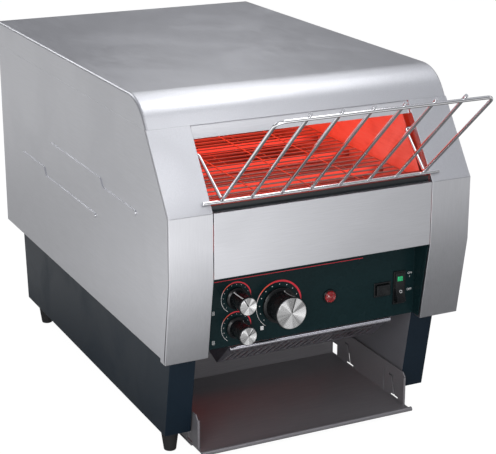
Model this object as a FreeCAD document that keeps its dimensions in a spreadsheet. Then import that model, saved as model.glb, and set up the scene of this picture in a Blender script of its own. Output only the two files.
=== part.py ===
import FreeCAD, Part
import math
import os
import re
import Sketcher

# Conveyor toaster with a front feed rack and a front toast tray.
# Frame: +Z up, +Y to the back, +X to the right seen from the front, origin at the bottom centre.

Vector = FreeCAD.Vector
Rotation = FreeCAD.Rotation
Placement = FreeCAD.Placement

# Driving dimensions in millimetres and degrees, each one a cell of the sheet
SIZES = {
    "sheet_gauge": 1.2,
    "sheet_clearance": 0.3,
    "cut_overrun": 2,
    # housing shell
    "housing_width": 368,
    "housing_depth": 573.3,
    "panel_rise": 91.5,
    "front_rise": 72.9,
    "slant_rise": 81,
    "cover_flange": 31,
    "cover_nose_radius": 49,
    "cover_edge_radius": 3,
    "nose_setback": 56.3,
    "undercut_setback": 15.8,
    "post_width": 50.3,
    "post_return": 12,
    "post_lip": 3,
    "post_drop": 4.2,
    "seam_gap": 1,
    "side_fold": 14,
    "bead_rise": 1.2,
    "bead_width": 5.6,
    "bead_front_margin": 92,
    "bead_low_margin": 219,
    "bead_tail": 97,
    "bead_low_tail": 85,
    "bead_body": 173,
    "bead_run": 7.5,
    "bead_step": 9.4,
    "bead_height": 240.6,
    "bead_spacing": 39,
    # base and feet
    "base_inset": 16,
    "base_gap_margin": 3.3,
    "base_bottom": 25,
    "base_top": 133,
    "base_front_top": 39,
    "base_front_bottom": 59,
    "base_back_top": 17.5,
    "base_back_bottom": 26.3,
    "base_gauge": 1.5,
    "base_rear_inset": 4,
    "louvre_width": 8,
    "louvre_height": 54,
    "louvre_border": 29,
    "foot_inset": 13,
    "foot_front_margin": 17,
    "foot_right_setback": 22,
    "foot_back_margin": 39,
    "foot_radius": 10.4,
    "foot_tip_radius": 7,
    "foot_bore_radius": 3,
    "foot_bore_depth": 6,
    # inner walls and floor
    "throat_front_margin": 10,
    "throat_back_margin": 28.3,
    "wall_gap": 0.3,
    "wall_front_low": 36,
    "wall_front_high": 26,
    "wall_back_gap": 15.3,
    "reflector_drop": 14.4,
    "reflector_front": 114,
    "reflector_lip": 14,
    "curtain_length": 131,
    "shield_rise": 15.5,
    "shield_back": 290,
    "insulation_front_margin": 8,
    "insulation_margin": 4,
    # feed opening
    "sill_setback": 7,
    "sill_rise": 6.6,
    "sill_skirt": 12.4,
    "sill_depth": 20,
    "header_drop": 13.7,
    "header_setback": 51.5,
    "header_overlap": 11,
    "header_gauge": 1.3,
    # control panel
    "panel_setback": 29,
    "panel_margin": 0.7,
    "panel_edge_inset": 2,
    "dial_column_share": 0.707,
    "top_dial_share": 0.393,
    "bottom_dial_share": 0.766,
    "speed_dial_column_share": 0.316,
    "speed_dial_share": 0.574,
    "knob_height": 30,
    "knob_gap": 0.8,
    "knob_top_wall": 9,
    "knob_skirt": 3.5,
    "knob_bevel": 0.8,
    "small_face_radius": 10.7,
    "small_body_radius": 9.2,
    "small_skirt_radius": 12.4,
    "large_face_radius": 18.6,
    "large_body_radius": 16.6,
    "large_skirt_radius": 20.6,
    "cap_thickness": 1.4,
    "cap_rim": 0.9,
    "pointer_width": 1.1,
    "pointer_share": 0.9,
    "shaft_radius": 3,
    "shaft_fit": 0.1,
    "shaft_passage": 0.6,
    "shaft_tail": 12,
    "switch_width": 25,
    "switch_height": 22,
    "switch_depth": 20,
    "top_rest_angle": -30,
    "bottom_rest_angle": 38,
    "speed_rest_angle": 15,
    "lamp_column_share": 0.162,
    "lamp_share": 0.581,
    "lamp_radius": 6.6,
    "lamp_bezel_radius": 8.2,
    "lamp_bezel_rise": 2.2,
    "lamp_crown": 3,
    "lamp_tail": 18,
    "rocker_margin": 20.9,
    "rocker_share": 0.625,
    "rocker_frame_width": 15.6,
    "rocker_frame_height": 39.6,
    "rocker_frame_wall": 1.9,
    "rocker_frame_rise": 1.6,
    "rocker_frame_tail": 14,
    "rocker_reach": 17,
    "rocker_tip": 5.2,
    "rocker_valley": 2.4,
    "rocker_heel": 5,
    "rocker_heel_reach": 6,
    "rocker_axle_depth": 2,
    "rocker_axle_radius": 1,
    "rocker_swing": 20,
    "button_spacing": 22.1,
    "button_share": 0.614,
    "button_frame_width": 22,
    "button_frame_height": 17,
    "button_frame_wall": 2.2,
    "button_frame_rise": 1.2,
    "button_frame_tail": 14,
    "button_rise": 4.2,
    "button_tail": 7,
    "button_edge": 0.8,
    # burn guard
    "guard_side_margin": 31.2,
    "guard_drop": 2,
    "guard_front": 31,
    "guard_fall": 30.4,
    "guard_reach": 31.8,
    "guard_gauge": 1,
    "guard_border": 2,
    "guard_strand": 1.3,
    "guard_slot_pitch": 8.5,
    "guard_slot_lean": 5.5,
    "guard_rim_radius": 2.6,
    "guard_wing_depth": 50,
    "guard_wing_drop": 15,
    # feed rack
    "rack_rod_radius": 2.1,
    "rack_rod_overhang": 10.3,
    "rack_wire_radius": 2,
    "rack_seat": 11.2,
    "rack_angle": 41.65,
    "rack_length": 169.5,
    "rack_side_margin": 10.7,
    "rack_nub": 5,
    "rack_bend": 4,
    "rack_weld_depth": 1.5,
    "rack_corner": 9,
    "rack_leg": 59,
    "rack_leg_depth": 12.6,
    "rack_leg_spread": 4.5,
    "rack_hook": 12.5,
    # conveyor
    "belt_side_gap": 9,
    "belt_front": 36,
    "belt_back_margin": 73.3,
    "belt_drop": 19,
    "belt_inner_radius": 14,
    "belt_gauge": 2,
    "belt_strand": 2,
    "belt_rung_pitch": 14.5,
    "spindle_radius": 5,
    "spindle_overhang": 5,
    "spindle_running_gap": 0.05,
    "bush_radius": 8,
    "bush_flange_radius": 12,
    "bush_flange": 3,
    "belt_wheel_width": 6,
    "wheel_gap": 0.6,
    "tooth_depth": 2,
    "chain_gap": 7.8,
    "chain_width": 5,
    "chain_wheel_width": 3.4,
    "chain_inner_radius": 15,
    "chain_thickness": 3,
    "chain_drop": 70,
    "motor_box_gap": 3,
    "motor_box_width": 29,
    "motor_box_height": 52,
    "motor_box_depth": 56,
    "motor_radius": 18,
    "motor_length": 72,
    "motor_boss_radius": 4,
    "motor_shaft_radius": 4,
    # heating elements
    "element_radius": 4,
    "element_hole_gap": 0.3,
    "element_overhang": 14,
    "upper_element_drop": 17,
    "upper_element_margin": 36,
    "upper_element_end": 30,
    "lower_element_margin": 74,
    "lower_element_end": 70,
    # discharge
    "chute_drop": 23,
    "chute_back_margin": 23.3,
    "chute_step": 2,
    "chute_overlap": 4,
    "chute_gauge": 1.2,
    "chute_side": 22,
    "tray_front": 30,
    "tray_wall_setback": 13.6,
    "tray_depth": 191,
    "tray_floor": 9.5,
    "tray_wall_height": 40,
    "tray_lip_radius": 2.6,
    "tray_lip_overhang": 0.8,
    "tray_hem_radius": 1.5,
    "tray_corner_radius": 5,
    "rail_gap": 0.3,
    "rail_flange": 13,
    "rail_front_margin": 30,
    "rail_back_margin": 5,
    "rail_window_margin": 1.5,
    "rail_window_reach": 8,
    "hook_slot_margin": 14.2,
    "hook_slot_share": 0.56,
    "hook_slot_width": 2.6,
    "hook_slot_rise": 27,
    "hook_slot_foot": 16.8,
    "hook_slot_lean": 6.5,
    "hook_slot_barb": 9,
    "slot_sill": 0.8,
    "narrow_slot_margin": 32,
    "narrow_slot_width": 1.8,
    "drain_margin": 14.5,
    "drain_length": 13,
    "drain_height": 15.5,
    # rear and electrics
    "fan_size": 80,
    "fan_depth": 25,
    "fan_margin": 11.8,
    "fan_wall": 2.5,
    "fan_hub_share": 0.2125,
    "fan_tip_gap": 1.5,
    "fan_blade_gauge": 1.6,
    "fan_blade_twist": 38,
    "fan_spoke_width": 4,
    "fan_spoke_depth": 3,
    "fan_end_gap": 1.5,
    "fan_pin_radius": 2,
    "grille_bar": 2.2,
    "grille_core": 1.1,
    "gland_margin": 14.8,
    "gland_rise_above_floor": 30.8,
    "gland_bore_radius": 6,
    "gland_radius": 12,
    "gland_neck_radius": 9,
    "gland_rise": 3.8,
    "gland_tail": 8,
    "board_front": 200,
    "board_length": 120,
    "board_margin": 30.8,
    "board_height": 84,
    "board_gauge": 1.6,
    "board_standoff": 8,
    "board_post_radius": 3,
    "board_part_depth": 14,
    "screw_radius": 2,
    "screw_head_radius": 4,
    "screw_head_rise": 2.2,
    "screw_length": 9,
    "screw_margin": 14,
}

# How many there are of each repeated thing
INNER_WIRE_COUNT = 6
UPPER_ELEMENT_COUNT = 5
LOWER_ELEMENT_COUNT = 5
GUARD_ROW_COUNT = 2
BELT_LANE_COUNT = 4
TURN_WINDOW_COUNT = 3
BELT_WHEEL_COUNT = 4
TOOTH_COUNT = 12
FAN_BLADE_COUNT = 7
FAN_RING_COUNT = 7
LOUVRE_COUNT = 9

# Places worked out from the driving dimensions, as sums of their names
PLACES = {
    "half_width": "housing_width / 2",
    "opening_half": "half_width - post_width",
    "undercut_height": "base_top + panel_rise",
    "kink_height": "undercut_height + front_rise",
    "seam_height": "kink_height + slant_rise",
    "housing_top": "seam_height + cover_flange",
    "housing_floor": "base_top + sheet_gauge",
    "slant_length": "sqrt(slant_rise * slant_rise + nose_setback * nose_setback)",
    "slant_cos": "nose_setback / slant_length",
    "slant_sin": "slant_rise / slant_length",
    "nose_corner": "nose_setback + cover_flange * nose_setback / slant_rise",
    "rack_stand": "rack_rod_radius + sheet_clearance",
    "rack_rod_run": "rack_seat * slant_cos - rack_stand * slant_sin",
    "rack_rod_height": "kink_height + rack_seat * slant_sin + rack_stand * slant_cos",
    "rack_rod_half": "opening_half + rack_rod_overhang",
    "rack_half": "opening_half - rack_side_margin",
    "rack_wire_drop": "2 * rack_wire_radius - rack_weld_depth",
    "rack_reach": "(rack_length + rack_nub) * cos(rack_angle)"
                  " + (rack_wire_radius - rack_wire_drop) * sin(rack_angle) - rack_rod_run",
    "front": "(rack_reach - housing_depth - gland_rise) / 2",
    "back": "front + housing_depth",
    "rear_inner_face": "back - sheet_gauge",
    "screw_column": "half_width - side_fold / 2",
    "base_half": "half_width - base_inset",
    "base_gap_half": "opening_half + base_gap_margin",
    "louvre_pitch": f"(2 * base_gap_half - 2 * louvre_border) / {LOUVRE_COUNT}",
    "foot_column": "base_half - foot_inset",
    "foot_front": "base_front_bottom + foot_front_margin",
    "foot_back": "housing_depth - base_back_bottom - foot_back_margin",
    "wall_face": "opening_half + wall_gap",
    "wall_outer": "wall_face + sheet_gauge",
    "wall_back": "back - wall_back_gap",
    "reflector_height": "housing_top - reflector_drop",
    "curtain_bottom": "reflector_height - curtain_length",
    "insulation_front": "reflector_front + insulation_front_margin",
    "shield_height": "undercut_height + shield_rise",
    "throat_start": "shield_back + throat_front_margin",
    "throat_end": "housing_depth - throat_back_margin",
    "sill_top": "kink_height + sill_rise",
    "sill_bottom": "kink_height - sill_skirt",
    "header_bottom": "seam_height - header_drop",
    "panel_half": "opening_half - panel_margin",
    "panel_face": "front + panel_setback",
    "panel_rear": "panel_face + sheet_gauge",
    "dial_column": "-panel_half * dial_column_share",
    "top_dial_height": "undercut_height - panel_rise * top_dial_share",
    "bottom_dial_height": "undercut_height - panel_rise * bottom_dial_share",
    "speed_dial_column": "-panel_half * speed_dial_column_share",
    "speed_dial_height": "undercut_height - panel_rise * speed_dial_share",
    "lamp_column": "panel_half * lamp_column_share",
    "lamp_height": "undercut_height - panel_rise * lamp_share",
    "rocker_column": "panel_half - rocker_margin",
    "rocker_centre": "undercut_height - panel_rise * rocker_share",
    "button_column": "rocker_column - button_spacing",
    "button_centre": "undercut_height - panel_rise * button_share",
    "guard_half": "panel_half - guard_side_margin",
    "guard_top": "base_top - guard_drop",
    "guard_bottom": "guard_top - guard_fall",
    "guard_back": "guard_front + guard_reach",
    "belt_width": "2 * (wall_face - belt_side_gap)",
    "belt_lane_pitch": f"(belt_width - belt_strand) / {BELT_LANE_COUNT}",
    "belt_height": "sill_top - belt_drop",
    "belt_back": "housing_depth - belt_back_margin",
    "belt_outer_radius": "belt_inner_radius + belt_gauge",
    "front_spindle": "front + belt_front",
    "back_spindle": "front + belt_back",
    "belt_wheel_radius": "belt_inner_radius - wheel_gap",
    "chain_wheel_radius": "chain_inner_radius - wheel_gap",
    "chain_plane": "wall_outer + chain_gap + chain_width / 2",
    "motor_box_start": "chain_plane + chain_width / 2 + motor_box_gap",
    "motor_height": "belt_height - chain_drop",
    "upper_element_height": "reflector_height - upper_element_drop",
    "upper_element_front": "reflector_front + upper_element_margin",
    "upper_element_pitch": "(belt_back - upper_element_end - upper_element_front)"
                           f" / {UPPER_ELEMENT_COUNT - 1}",
    "lower_element_front": "belt_front + lower_element_margin",
    "lower_element_pitch": "(belt_back - lower_element_end - lower_element_front)"
                           f" / {LOWER_ELEMENT_COUNT - 1}",
    "tray_half": "wall_face",
    "tray_outer_half": "tray_half + sheet_gauge",
    "tray_underside": "tray_floor - sheet_gauge",
    "tray_rim": "tray_floor + tray_wall_height",
    "tray_wall_front": "tray_front + tray_wall_setback",
    "tray_back": "tray_front + tray_depth",
    "rail_front": "tray_front + rail_front_margin",
    "rail_back": "tray_back + rail_back_margin",
    "hook_slot_start": "tray_wall_front + hook_slot_margin",
    "hook_slot_spacing": "tray_depth * hook_slot_share",
    "narrow_slot_start": "hook_slot_start + narrow_slot_margin",
    "drain_start": "tray_back - drain_margin",
    "chute_top": "belt_height - chute_drop",
    "chute_top_back": "housing_depth - chute_back_margin",
    "chute_bottom": "tray_rim + chute_step",
    "chute_bottom_back": "tray_back + chute_overlap",
    "fan_height": "housing_floor + fan_margin + fan_size / 2",
    "fan_bore_radius": "fan_size / 2 - fan_wall",
    "fan_hub_radius": "fan_size * fan_hub_share",
    "grille_ring": f"(fan_bore_radius - grille_core) / {FAN_RING_COUNT}",
    "gland_column": "-wall_outer - gland_margin",
    "gland_height": "housing_floor + gland_rise_above_floor",
    "board_bottom": "housing_floor + board_margin",
}

doc = FreeCAD.newDocument("conveyor_toaster")
sheet = doc.addObject("Spreadsheet::Sheet", "dims")
for row, (alias, size) in enumerate(SIZES.items(), start=1):
    sheet.set(f"A{row}", alias.replace("_", " "))
    sheet.set(f"B{row}", str(size))
    sheet.setAlias(f"B{row}", alias)
doc.recompute()

nodes = {}


def spell(text):
    """Turn a sum of plain names into an expression on the cells of the sheet."""
    def word(match):
        name = match.group(0)
        if name in PLACES:
            return "(" + spell(PLACES[name]) + ")"
        if name in SIZES:
            return "dims." + name
        return name
    return re.sub(r"[a-z][a-z_0-9]*", word, text)


def number(text):
    """The value, now, of a sum of plain names."""
    result = sheet.evalExpression(spell(text))
    return float(getattr(result, "Value", result))


def bind(thing, property_name, text):
    thing.setExpression(property_name, spell(text))


def keep(name, thing):
    """Make this object the sub-part of that name."""
    thing.Label = name
    nodes[name] = thing
    return thing


def box(name, x, y, z):
    """A block between low and high corners, each given as a pair of sums."""
    block = doc.addObject("Part::Box", name)
    for axis, side, (low, high) in zip("xyz", ("Length", "Width", "Height"), (x, y, z)):
        bind(block, side, f"({high}) - ({low})")
        bind(block, f"Placement.Base.{axis}", low)
    return block


AXIS_TURNS = {"x": (Vector(0, 1, 0), 90), "y": (Vector(-1, 0, 0), 90), "z": (Vector(0, 0, 1), 0)}


def rod(name, axis, start, end, radius, across):
    """A cylinder along an axis from start to end, placed on the other two axes by across."""
    bar = doc.addObject("Part::Cylinder", name)
    bar.Placement = Placement(Vector(0, 0, 0), Rotation(*AXIS_TURNS[axis]))
    bind(bar, "Radius", radius)
    bind(bar, "Height", f"({end}) - ({start})")
    bind(bar, f"Placement.Base.{axis}", start)
    for other, place in zip([a for a in "xyz" if a != axis], across):
        bind(bar, f"Placement.Base.{other}", place)
    return bar


def outline_sketch(body, plane_name, points):
    """A closed outline of straight sides on a plane of the body, each corner bound to the sheet."""
    plane = [item for item in body.Origin.OriginFeatures if item.Role == plane_name][0]
    sketch = body.newObject("Sketcher::SketchObject", body.Name + "_outline")
    sketch.AttachmentSupport = [(plane, "")]
    sketch.MapMode = "FlatFace"
    corners = [Vector(number(across), number(up), 0) for across, up in points]
    count = len(corners)
    sketch.addGeometry([Part.LineSegment(corners[i], corners[(i + 1) % count])
                        for i in range(count)], False)
    joins = [Sketcher.Constraint("Coincident", i, 2, (i + 1) % count, 1) for i in range(count)]
    places = []
    for i, corner in enumerate(corners):
        places.append(Sketcher.Constraint("DistanceX", -1, 1, i, 1, corner.x))
        places.append(Sketcher.Constraint("DistanceY", -1, 1, i, 1, corner.y))
    sketch.addConstraint(joins + places)
    for i, (across, up) in enumerate(points):
        bind(sketch, f"Constraints[{count + 2 * i}]", across)
        bind(sketch, f"Constraints[{count + 2 * i + 1}]", up)
    return sketch


def plate(name, plane, points, start, end):
    """An outline on the YZ, XZ or XY plane, made solid from start to end along the third axis."""
    body = doc.addObject("PartDesign::Body", name)
    sketch = outline_sketch(body, plane + "_Plane", points)
    pad = body.newObject("PartDesign::Pad", name + "_pad")
    pad.Profile = sketch
    bind(pad, "Length", f"({end}) - ({start})")
    if plane == "XZ":
        bind(sketch, "AttachmentOffset.Base.z", f"-({start})")
        pad.Reversed = True
    else:
        bind(sketch, "AttachmentOffset.Base.z", start)
    return body


def turned(name, points, x, y, z):
    """A turned piece about the Y axis: points are (radius, place along Y) from its own origin."""
    body = doc.addObject("PartDesign::Body", name)
    sketch = outline_sketch(body, "XY_Plane", points)
    revolve = body.newObject("PartDesign::Revolution", name + "_turning")
    revolve.Profile = sketch
    revolve.ReferenceAxis = (sketch, ["V_Axis"])
    revolve.Angle = 360
    for axis, place in zip("xyz", (x, y, z)):
        bind(body, f"Placement.Base.{axis}", place)
    return body


def fuse(name, *parts):
    whole = doc.addObject("Part::MultiFuse", name)
    whole.Shapes = list(parts)
    return whole


def group(name, *parts):
    whole = doc.addObject("Part::Compound", name)
    whole.Links = list(parts)
    return whole


def cut(name, base, *tools):
    """The base without the tools, which don't touch each other."""
    rest = doc.addObject("Part::Cut", name)
    rest.Base = base
    rest.Tool = tools[0] if len(tools) == 1 else group(name + "_tools", *tools)
    return rest


def mirrored(span):
    """The same pair of places on the other side of the middle."""
    return [f"-({end})" for end in reversed(span)]


def shaped(name, shape):
    thing = doc.addObject("Part::Feature", name)
    thing.Shape = shape
    return thing


def round_edges(body, radius, chosen):
    """Round the edges of the body's last feature whose middle point is chosen."""
    doc.recompute()
    base = body.Tip
    names = [f"Edge{i}" for i, edge in enumerate(base.Shape.Edges, start=1)
             if chosen(edge.CenterOfMass)]
    fillet = body.newObject("PartDesign::Fillet", body.Name + "_rounding")
    fillet.Base = (base, names)
    bind(fillet, "Radius", radius)
    doc.recompute()
    return fillet


def hollow(body, gauge, chosen):
    """Leave a wall of the gauge and open the faces that are chosen by their centre."""
    doc.recompute()
    base = body.Tip
    names = [f"Face{i}" for i, face in enumerate(base.Shape.Faces, start=1)
             if chosen(face.CenterOfMass)]
    shell = body.newObject("PartDesign::Thickness", body.Name + "_wall")
    shell.Base = (base, names)
    bind(shell, "Value", gauge)
    shell.Reversed = True
    doc.recompute()
    return shell


def bent_wire(points, radius, bends):
    """One round wire through the points, with an arc of its own radius at each corner."""
    edges = []
    start = points[0]
    for before, corner, after, bend in zip(points, points[1:], points[2:], bends):
        inward = (before - corner).normalize()
        onward = (after - corner).normalize()
        half = inward.getAngle(onward) / 2
        first = corner + inward * (bend / math.tan(half))
        last = corner + onward * (bend / math.tan(half))
        middle = corner + (inward + onward).normalize() * (bend / math.sin(half) - bend)
        edges.append(Part.LineSegment(start, first).toShape())
        edges.append(Part.Arc(first, middle, last).toShape())
        start = last
    edges.append(Part.LineSegment(start, points[-1]).toShape())
    ring = Part.Wire(Part.makeCircle(radius, points[0], points[1] - points[0]))
    return Part.Wire(edges).makePipeShell([ring], True, False)


def toothed_wheel(place, width, tip, depth, bore):
    """A sprocket about an X axis, its teeth inside the tip radius."""
    corners = []
    for step in range(4 * TOOTH_COUNT):
        angle = 2 * math.pi * (step + 1 / 2) / (4 * TOOTH_COUNT)
        reach = tip if step % 4 < 2 else tip - depth
        corners.append(place + Vector(0, reach * math.cos(angle), reach * math.sin(angle)))
    rim = Part.makePolygon(corners + corners[:1])
    hole = Part.Wire(Part.makeCircle(bore, place, Vector(1, 0, 0)))
    face = Part.makeFace([rim, hole], "Part::FaceMakerBullseye")
    return face.extrude(Vector(width, 0, 0))


# Base: two folded side boxes, a louvred rear panel and four rubber feet
BASE_OUTLINE = [
    ("front + base_front_top", "base_top"),
    ("front + base_front_bottom", "base_bottom"),
    ("back - base_back_bottom", "base_bottom"),
    ("back - base_back_top", "base_top"),
]
for side, low, high in (("left", "-base_half", "-base_gap_half"), ("right", "base_gap_half", "base_half")):
    base = plate(f"base_{side}", "YZ", BASE_OUTLINE, low, high)
    hollow(base, "base_gauge", lambda centre: abs(centre.z - number("base_top")) < number("sheet_clearance"))
    keep(f"base_{side}", base)

rear_sheet = box("base_rear_sheet", ("-base_gap_half", "base_gap_half"),
                 ("back - base_back_bottom - base_rear_inset - base_gauge",
                  "back - base_back_bottom - base_rear_inset"),
                 ("base_bottom", "base_top"))
rear_foot = box("base_rear_fold", ("-base_gap_half", "base_gap_half"),
                ("back - base_back_bottom - base_rear_inset - side_fold",
                 "back - base_back_bottom - base_rear_inset"),
                ("base_bottom", "base_bottom + base_gauge"))
louvres = []
for i in range(LOUVRE_COUNT):
    shift = f"louvre_pitch * {i - (LOUVRE_COUNT - 1) / 2}"
    louvres.append(box(f"louvre_{i}", (f"{shift} - louvre_width / 2", f"{shift} + louvre_width / 2"),
                       ("back - base_back_bottom - base_rear_inset - base_gauge - cut_overrun",
                        "back - base_back_bottom - base_rear_inset + cut_overrun"),
                       ("(base_bottom + base_top - louvre_height) / 2",
                        "(base_bottom + base_top + louvre_height) / 2")))
keep("base_rear", cut("base_rear", fuse("base_rear_folded", rear_sheet, rear_foot), *louvres))

feet = []
for side, across, foremost in (("left", "-foot_column", "front + foot_front"),
                               ("right", "foot_column", "front + foot_front + foot_right_setback")):
    for end, along in (("front", foremost), ("back", "front + foot_back")):
        name = f"foot_{end}_{side}"
        leg = doc.addObject("Part::Cone", name + "_leg")
        bind(leg, "Radius1", "foot_tip_radius")
        bind(leg, "Radius2", "foot_radius")
        bind(leg, "Height", "base_bottom")
        bind(leg, "Placement.Base.x", across)
        bind(leg, "Placement.Base.y", along)
        socket = rod(name + "_socket", "z", "-cut_overrun", "foot_bore_depth", "foot_bore_radius",
                     (across, along))
        feet.append(cut(name, leg, socket))
keep("rubber_feet", group("rubber_feet", *feet))

# Floor pan of the housing, open at the back where the toast drops through
floor_sheet = box("floor_sheet", ("-half_width + sheet_gauge + sheet_clearance",
                                  "half_width - sheet_gauge - sheet_clearance"),
                  ("front + panel_setback + sheet_gauge + sheet_clearance", "rear_inner_face"),
                  ("base_top", "housing_floor"))
throat = box("floor_throat", ("-wall_face", "wall_face"), ("front + throat_start", "front + throat_end"),
             ("base_top - cut_overrun", "housing_floor + cut_overrun"))
keep("floor_pan", cut("floor_pan", floor_sheet, throat))

# Corner posts: folded channels that follow the kinked front outline
FRONT_LINE = [
    ("undercut_setback", "housing_floor"),
    ("0", "undercut_height"),
    ("0", "kink_height"),
    ("nose_setback", "seam_height"),
]


def front_band(near, far, drop):
    """An outline between two setbacks behind the front line, its foot lowered by drop."""
    near_side = [(f"front + {y} + ({near})", z) for y, z in FRONT_LINE]
    far_side = [(f"front + {y} + ({far})", z) for y, z in reversed(FRONT_LINE)]
    near_side[0] = (near_side[0][0], f"housing_floor - ({drop})")
    far_side[-1] = (far_side[-1][0], f"housing_floor - ({drop})")
    return near_side + far_side


for side, sign in (("left", "-"), ("right", "")):
    inner, outer = f"{sign}opening_half", f"{sign}half_width"
    inside, outside = f"{sign}(opening_half + sheet_gauge)", f"{sign}(half_width - sheet_gauge)"
    lows = (outer, outside) if sign else (inner, inside)
    highs = (inner, inside) if sign else (outer, outside)
    trim_span = [f"{sign}(half_width - sheet_gauge)", f"{sign}(half_width + cut_overrun)"]
    if sign:
        trim_span.reverse()
    solid = plate(f"post_{side}_solid", "YZ", front_band("0", "post_return", "post_drop"), lows[0], highs[0])
    channel = plate(f"post_{side}_channel", "YZ",
                    front_band("sheet_gauge", "post_return + cut_overrun", "post_drop + cut_overrun"),
                    lows[1], highs[1])
    trim = plate(f"post_{side}_trim", "YZ",
                 front_band("post_lip", "post_return + cut_overrun", "post_drop + cut_overrun"), *trim_span)
    keep(f"corner_post_{side}", cut(f"corner_post_{side}", solid, channel, trim))

# Side panels: flat skins with folded edges, a short skirt beside the post, screw holes and two stepped beads
SCREW_HEIGHTS = ("housing_floor + screw_margin", "seam_height - screw_margin")
SKIRT_FRONT = "front + undercut_setback + post_lip + seam_gap"
SKIRT_BACK = "front + undercut_setback + post_return + seam_gap"
# Each bead's start, the lengths before and after its step, and its height before the step
BEAD_COURSES = (
    ("bead_front_margin", "bead_tail", "bead_body", "bead_height + bead_spacing"),
    ("bead_low_margin", "bead_body", "bead_low_tail", "bead_height"),
)
for side, sign in (("left", "-"), ("right", "")):
    skin_outline = [(f"front + {y} + post_lip + seam_gap", z) for y, z in FRONT_LINE]
    skin_outline += [("rear_inner_face", "seam_height"), ("rear_inner_face", "housing_floor"),
                     (SKIRT_BACK, "housing_floor"), (SKIRT_BACK, "housing_floor - post_drop"),
                     (SKIRT_FRONT, "housing_floor - post_drop")]
    pocket_outline = [
        ("front + undercut_setback + post_lip + seam_gap + sheet_gauge", "housing_floor + sheet_gauge"),
        ("front + post_lip + seam_gap + sheet_gauge", "undercut_height"),
        ("front + post_lip + seam_gap + sheet_gauge", "kink_height"),
        ("front + nose_setback + post_lip + seam_gap", "seam_height - sheet_gauge"),
        ("rear_inner_face - sheet_gauge", "seam_height - sheet_gauge"),
        ("rear_inner_face - sheet_gauge", "housing_floor + sheet_gauge"),
    ]
    spans = [f"{sign}(half_width - side_fold)", f"{sign}half_width"]
    pocket_spans = [f"{sign}(half_width - side_fold - cut_overrun)", f"{sign}(half_width - sheet_gauge)"]
    bead_spans = [f"{sign}(half_width - sheet_gauge / 2)", f"{sign}(half_width + bead_rise)"]
    if sign:
        spans.reverse()
        pocket_spans.reverse()
        bead_spans.reverse()
    skin = plate(f"side_{side}_skin", "YZ", skin_outline, *spans)
    pocket = plate(f"side_{side}_pocket", "YZ", pocket_outline, *pocket_spans)
    skirt_pocket = box(f"side_{side}_skirt_pocket", pocket_spans,
                       (f"{SKIRT_FRONT} - cut_overrun", f"{SKIRT_BACK} + cut_overrun"),
                       ("housing_floor - post_drop - cut_overrun", "housing_floor"))
    holes = [rod(f"side_{side}_screw_hole_{i}", "y", "rear_inner_face - sheet_gauge - cut_overrun",
                 "rear_inner_face + cut_overrun", "screw_radius + shaft_fit", (f"{sign}screw_column", height))
             for i, height in enumerate(SCREW_HEIGHTS)]
    folded = cut(f"side_{side}_folded", cut(f"side_{side}_tray", skin, pocket, skirt_pocket), *holes)
    beads = []
    for i, (margin, fore, aft, height) in enumerate(BEAD_COURSES):
        path = [(f"front + {margin}", height), (f"front + {margin} + {fore}", height),
                (f"front + {margin} + {fore} + bead_run", f"{height} + bead_step"),
                (f"front + {margin} + {fore} + bead_run + {aft}", f"{height} + bead_step")]
        outline = [(y, f"{z} - bead_width / 2") for y, z in path]
        outline += [(y, f"{z} + bead_width / 2") for y, z in reversed(path)]
        beads.append(plate(f"bead_{side}_{i}", "YZ", outline, *bead_spans))
        for j in (0, -1):
            beads.append(rod(f"bead_end_{side}_{i}_{abs(j)}", "x", *bead_spans, "bead_width / 2", path[j]))
    keep(f"side_panel_{side}", fuse(f"side_panel_{side}", folded, *beads))

# Top cover: one sheet rolled over the nose, with folded sides and back
cover = plate("top_cover", "YZ", [
    ("front + nose_setback", "seam_height"),
    ("front + nose_corner", "housing_top"),
    ("back", "housing_top"),
    ("back", "seam_height"),
], "-half_width", "half_width")
round_edges(cover, "cover_nose_radius",
            lambda centre: abs(centre.y - number("front + nose_corner")) < number("sheet_clearance")
            and abs(centre.z - number("housing_top")) < number("sheet_clearance"))
round_edges(cover, "cover_edge_radius",
            lambda centre: abs(centre.z - number("housing_top")) < number("sheet_clearance")
            and abs(centre.x) > number("half_width") - number("sheet_clearance"))
hollow(cover, "sheet_gauge", lambda centre: abs(centre.z - number("seam_height")) < number("sheet_clearance"))
keep("top_cover", cover)

# Front panel between the posts, folded back under the feed opening and over the controls
front_face = box("front_face", ("-panel_half", "panel_half"), ("front", "front + sheet_gauge"),
                 ("undercut_height", "kink_height"))
front_fold = box("front_fold", ("-panel_half", "panel_half"),
                 ("front", "panel_rear"),
                 ("undercut_height", "undercut_height + sheet_gauge"))
front_top_fold = box("front_top_fold", ("-panel_half", "panel_half"), ("front", "front + sill_setback"),
                     ("kink_height - sheet_gauge", "kink_height"))
keep("front_panel", fuse("front_panel", front_face, front_fold, front_top_fold))

# Feed opening: a black sill in front of the belt and a pale strip across the top
sill_face = box("sill_face", ("-panel_half", "panel_half"),
                ("front + sill_setback", "front + sill_setback + sheet_gauge"), ("sill_bottom", "sill_top"))
sill_shelf = box("sill_shelf", ("-panel_half", "panel_half"),
                 ("front + sill_setback", "front + sill_setback + sill_depth"),
                 ("sill_top - sheet_gauge", "sill_top"))
keep("feed_sill", fuse("feed_sill", sill_face, sill_shelf))

header_foot = ("front + header_setback", "header_bottom")
header_knee = ("front + nose_setback + (sheet_gauge + sheet_clearance) / slant_sin", "seam_height")
header_head = (f"{header_knee[0]} + header_overlap * nose_setback / slant_rise",
               "seam_height + header_overlap")
header_points = [header_foot, header_knee, header_head]
header_points += [(f"{y} + header_gauge", z) for y, z in reversed(header_points)]
keep("header_strip", plate("header_strip", "YZ", header_points, "-panel_half", "panel_half"))

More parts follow.
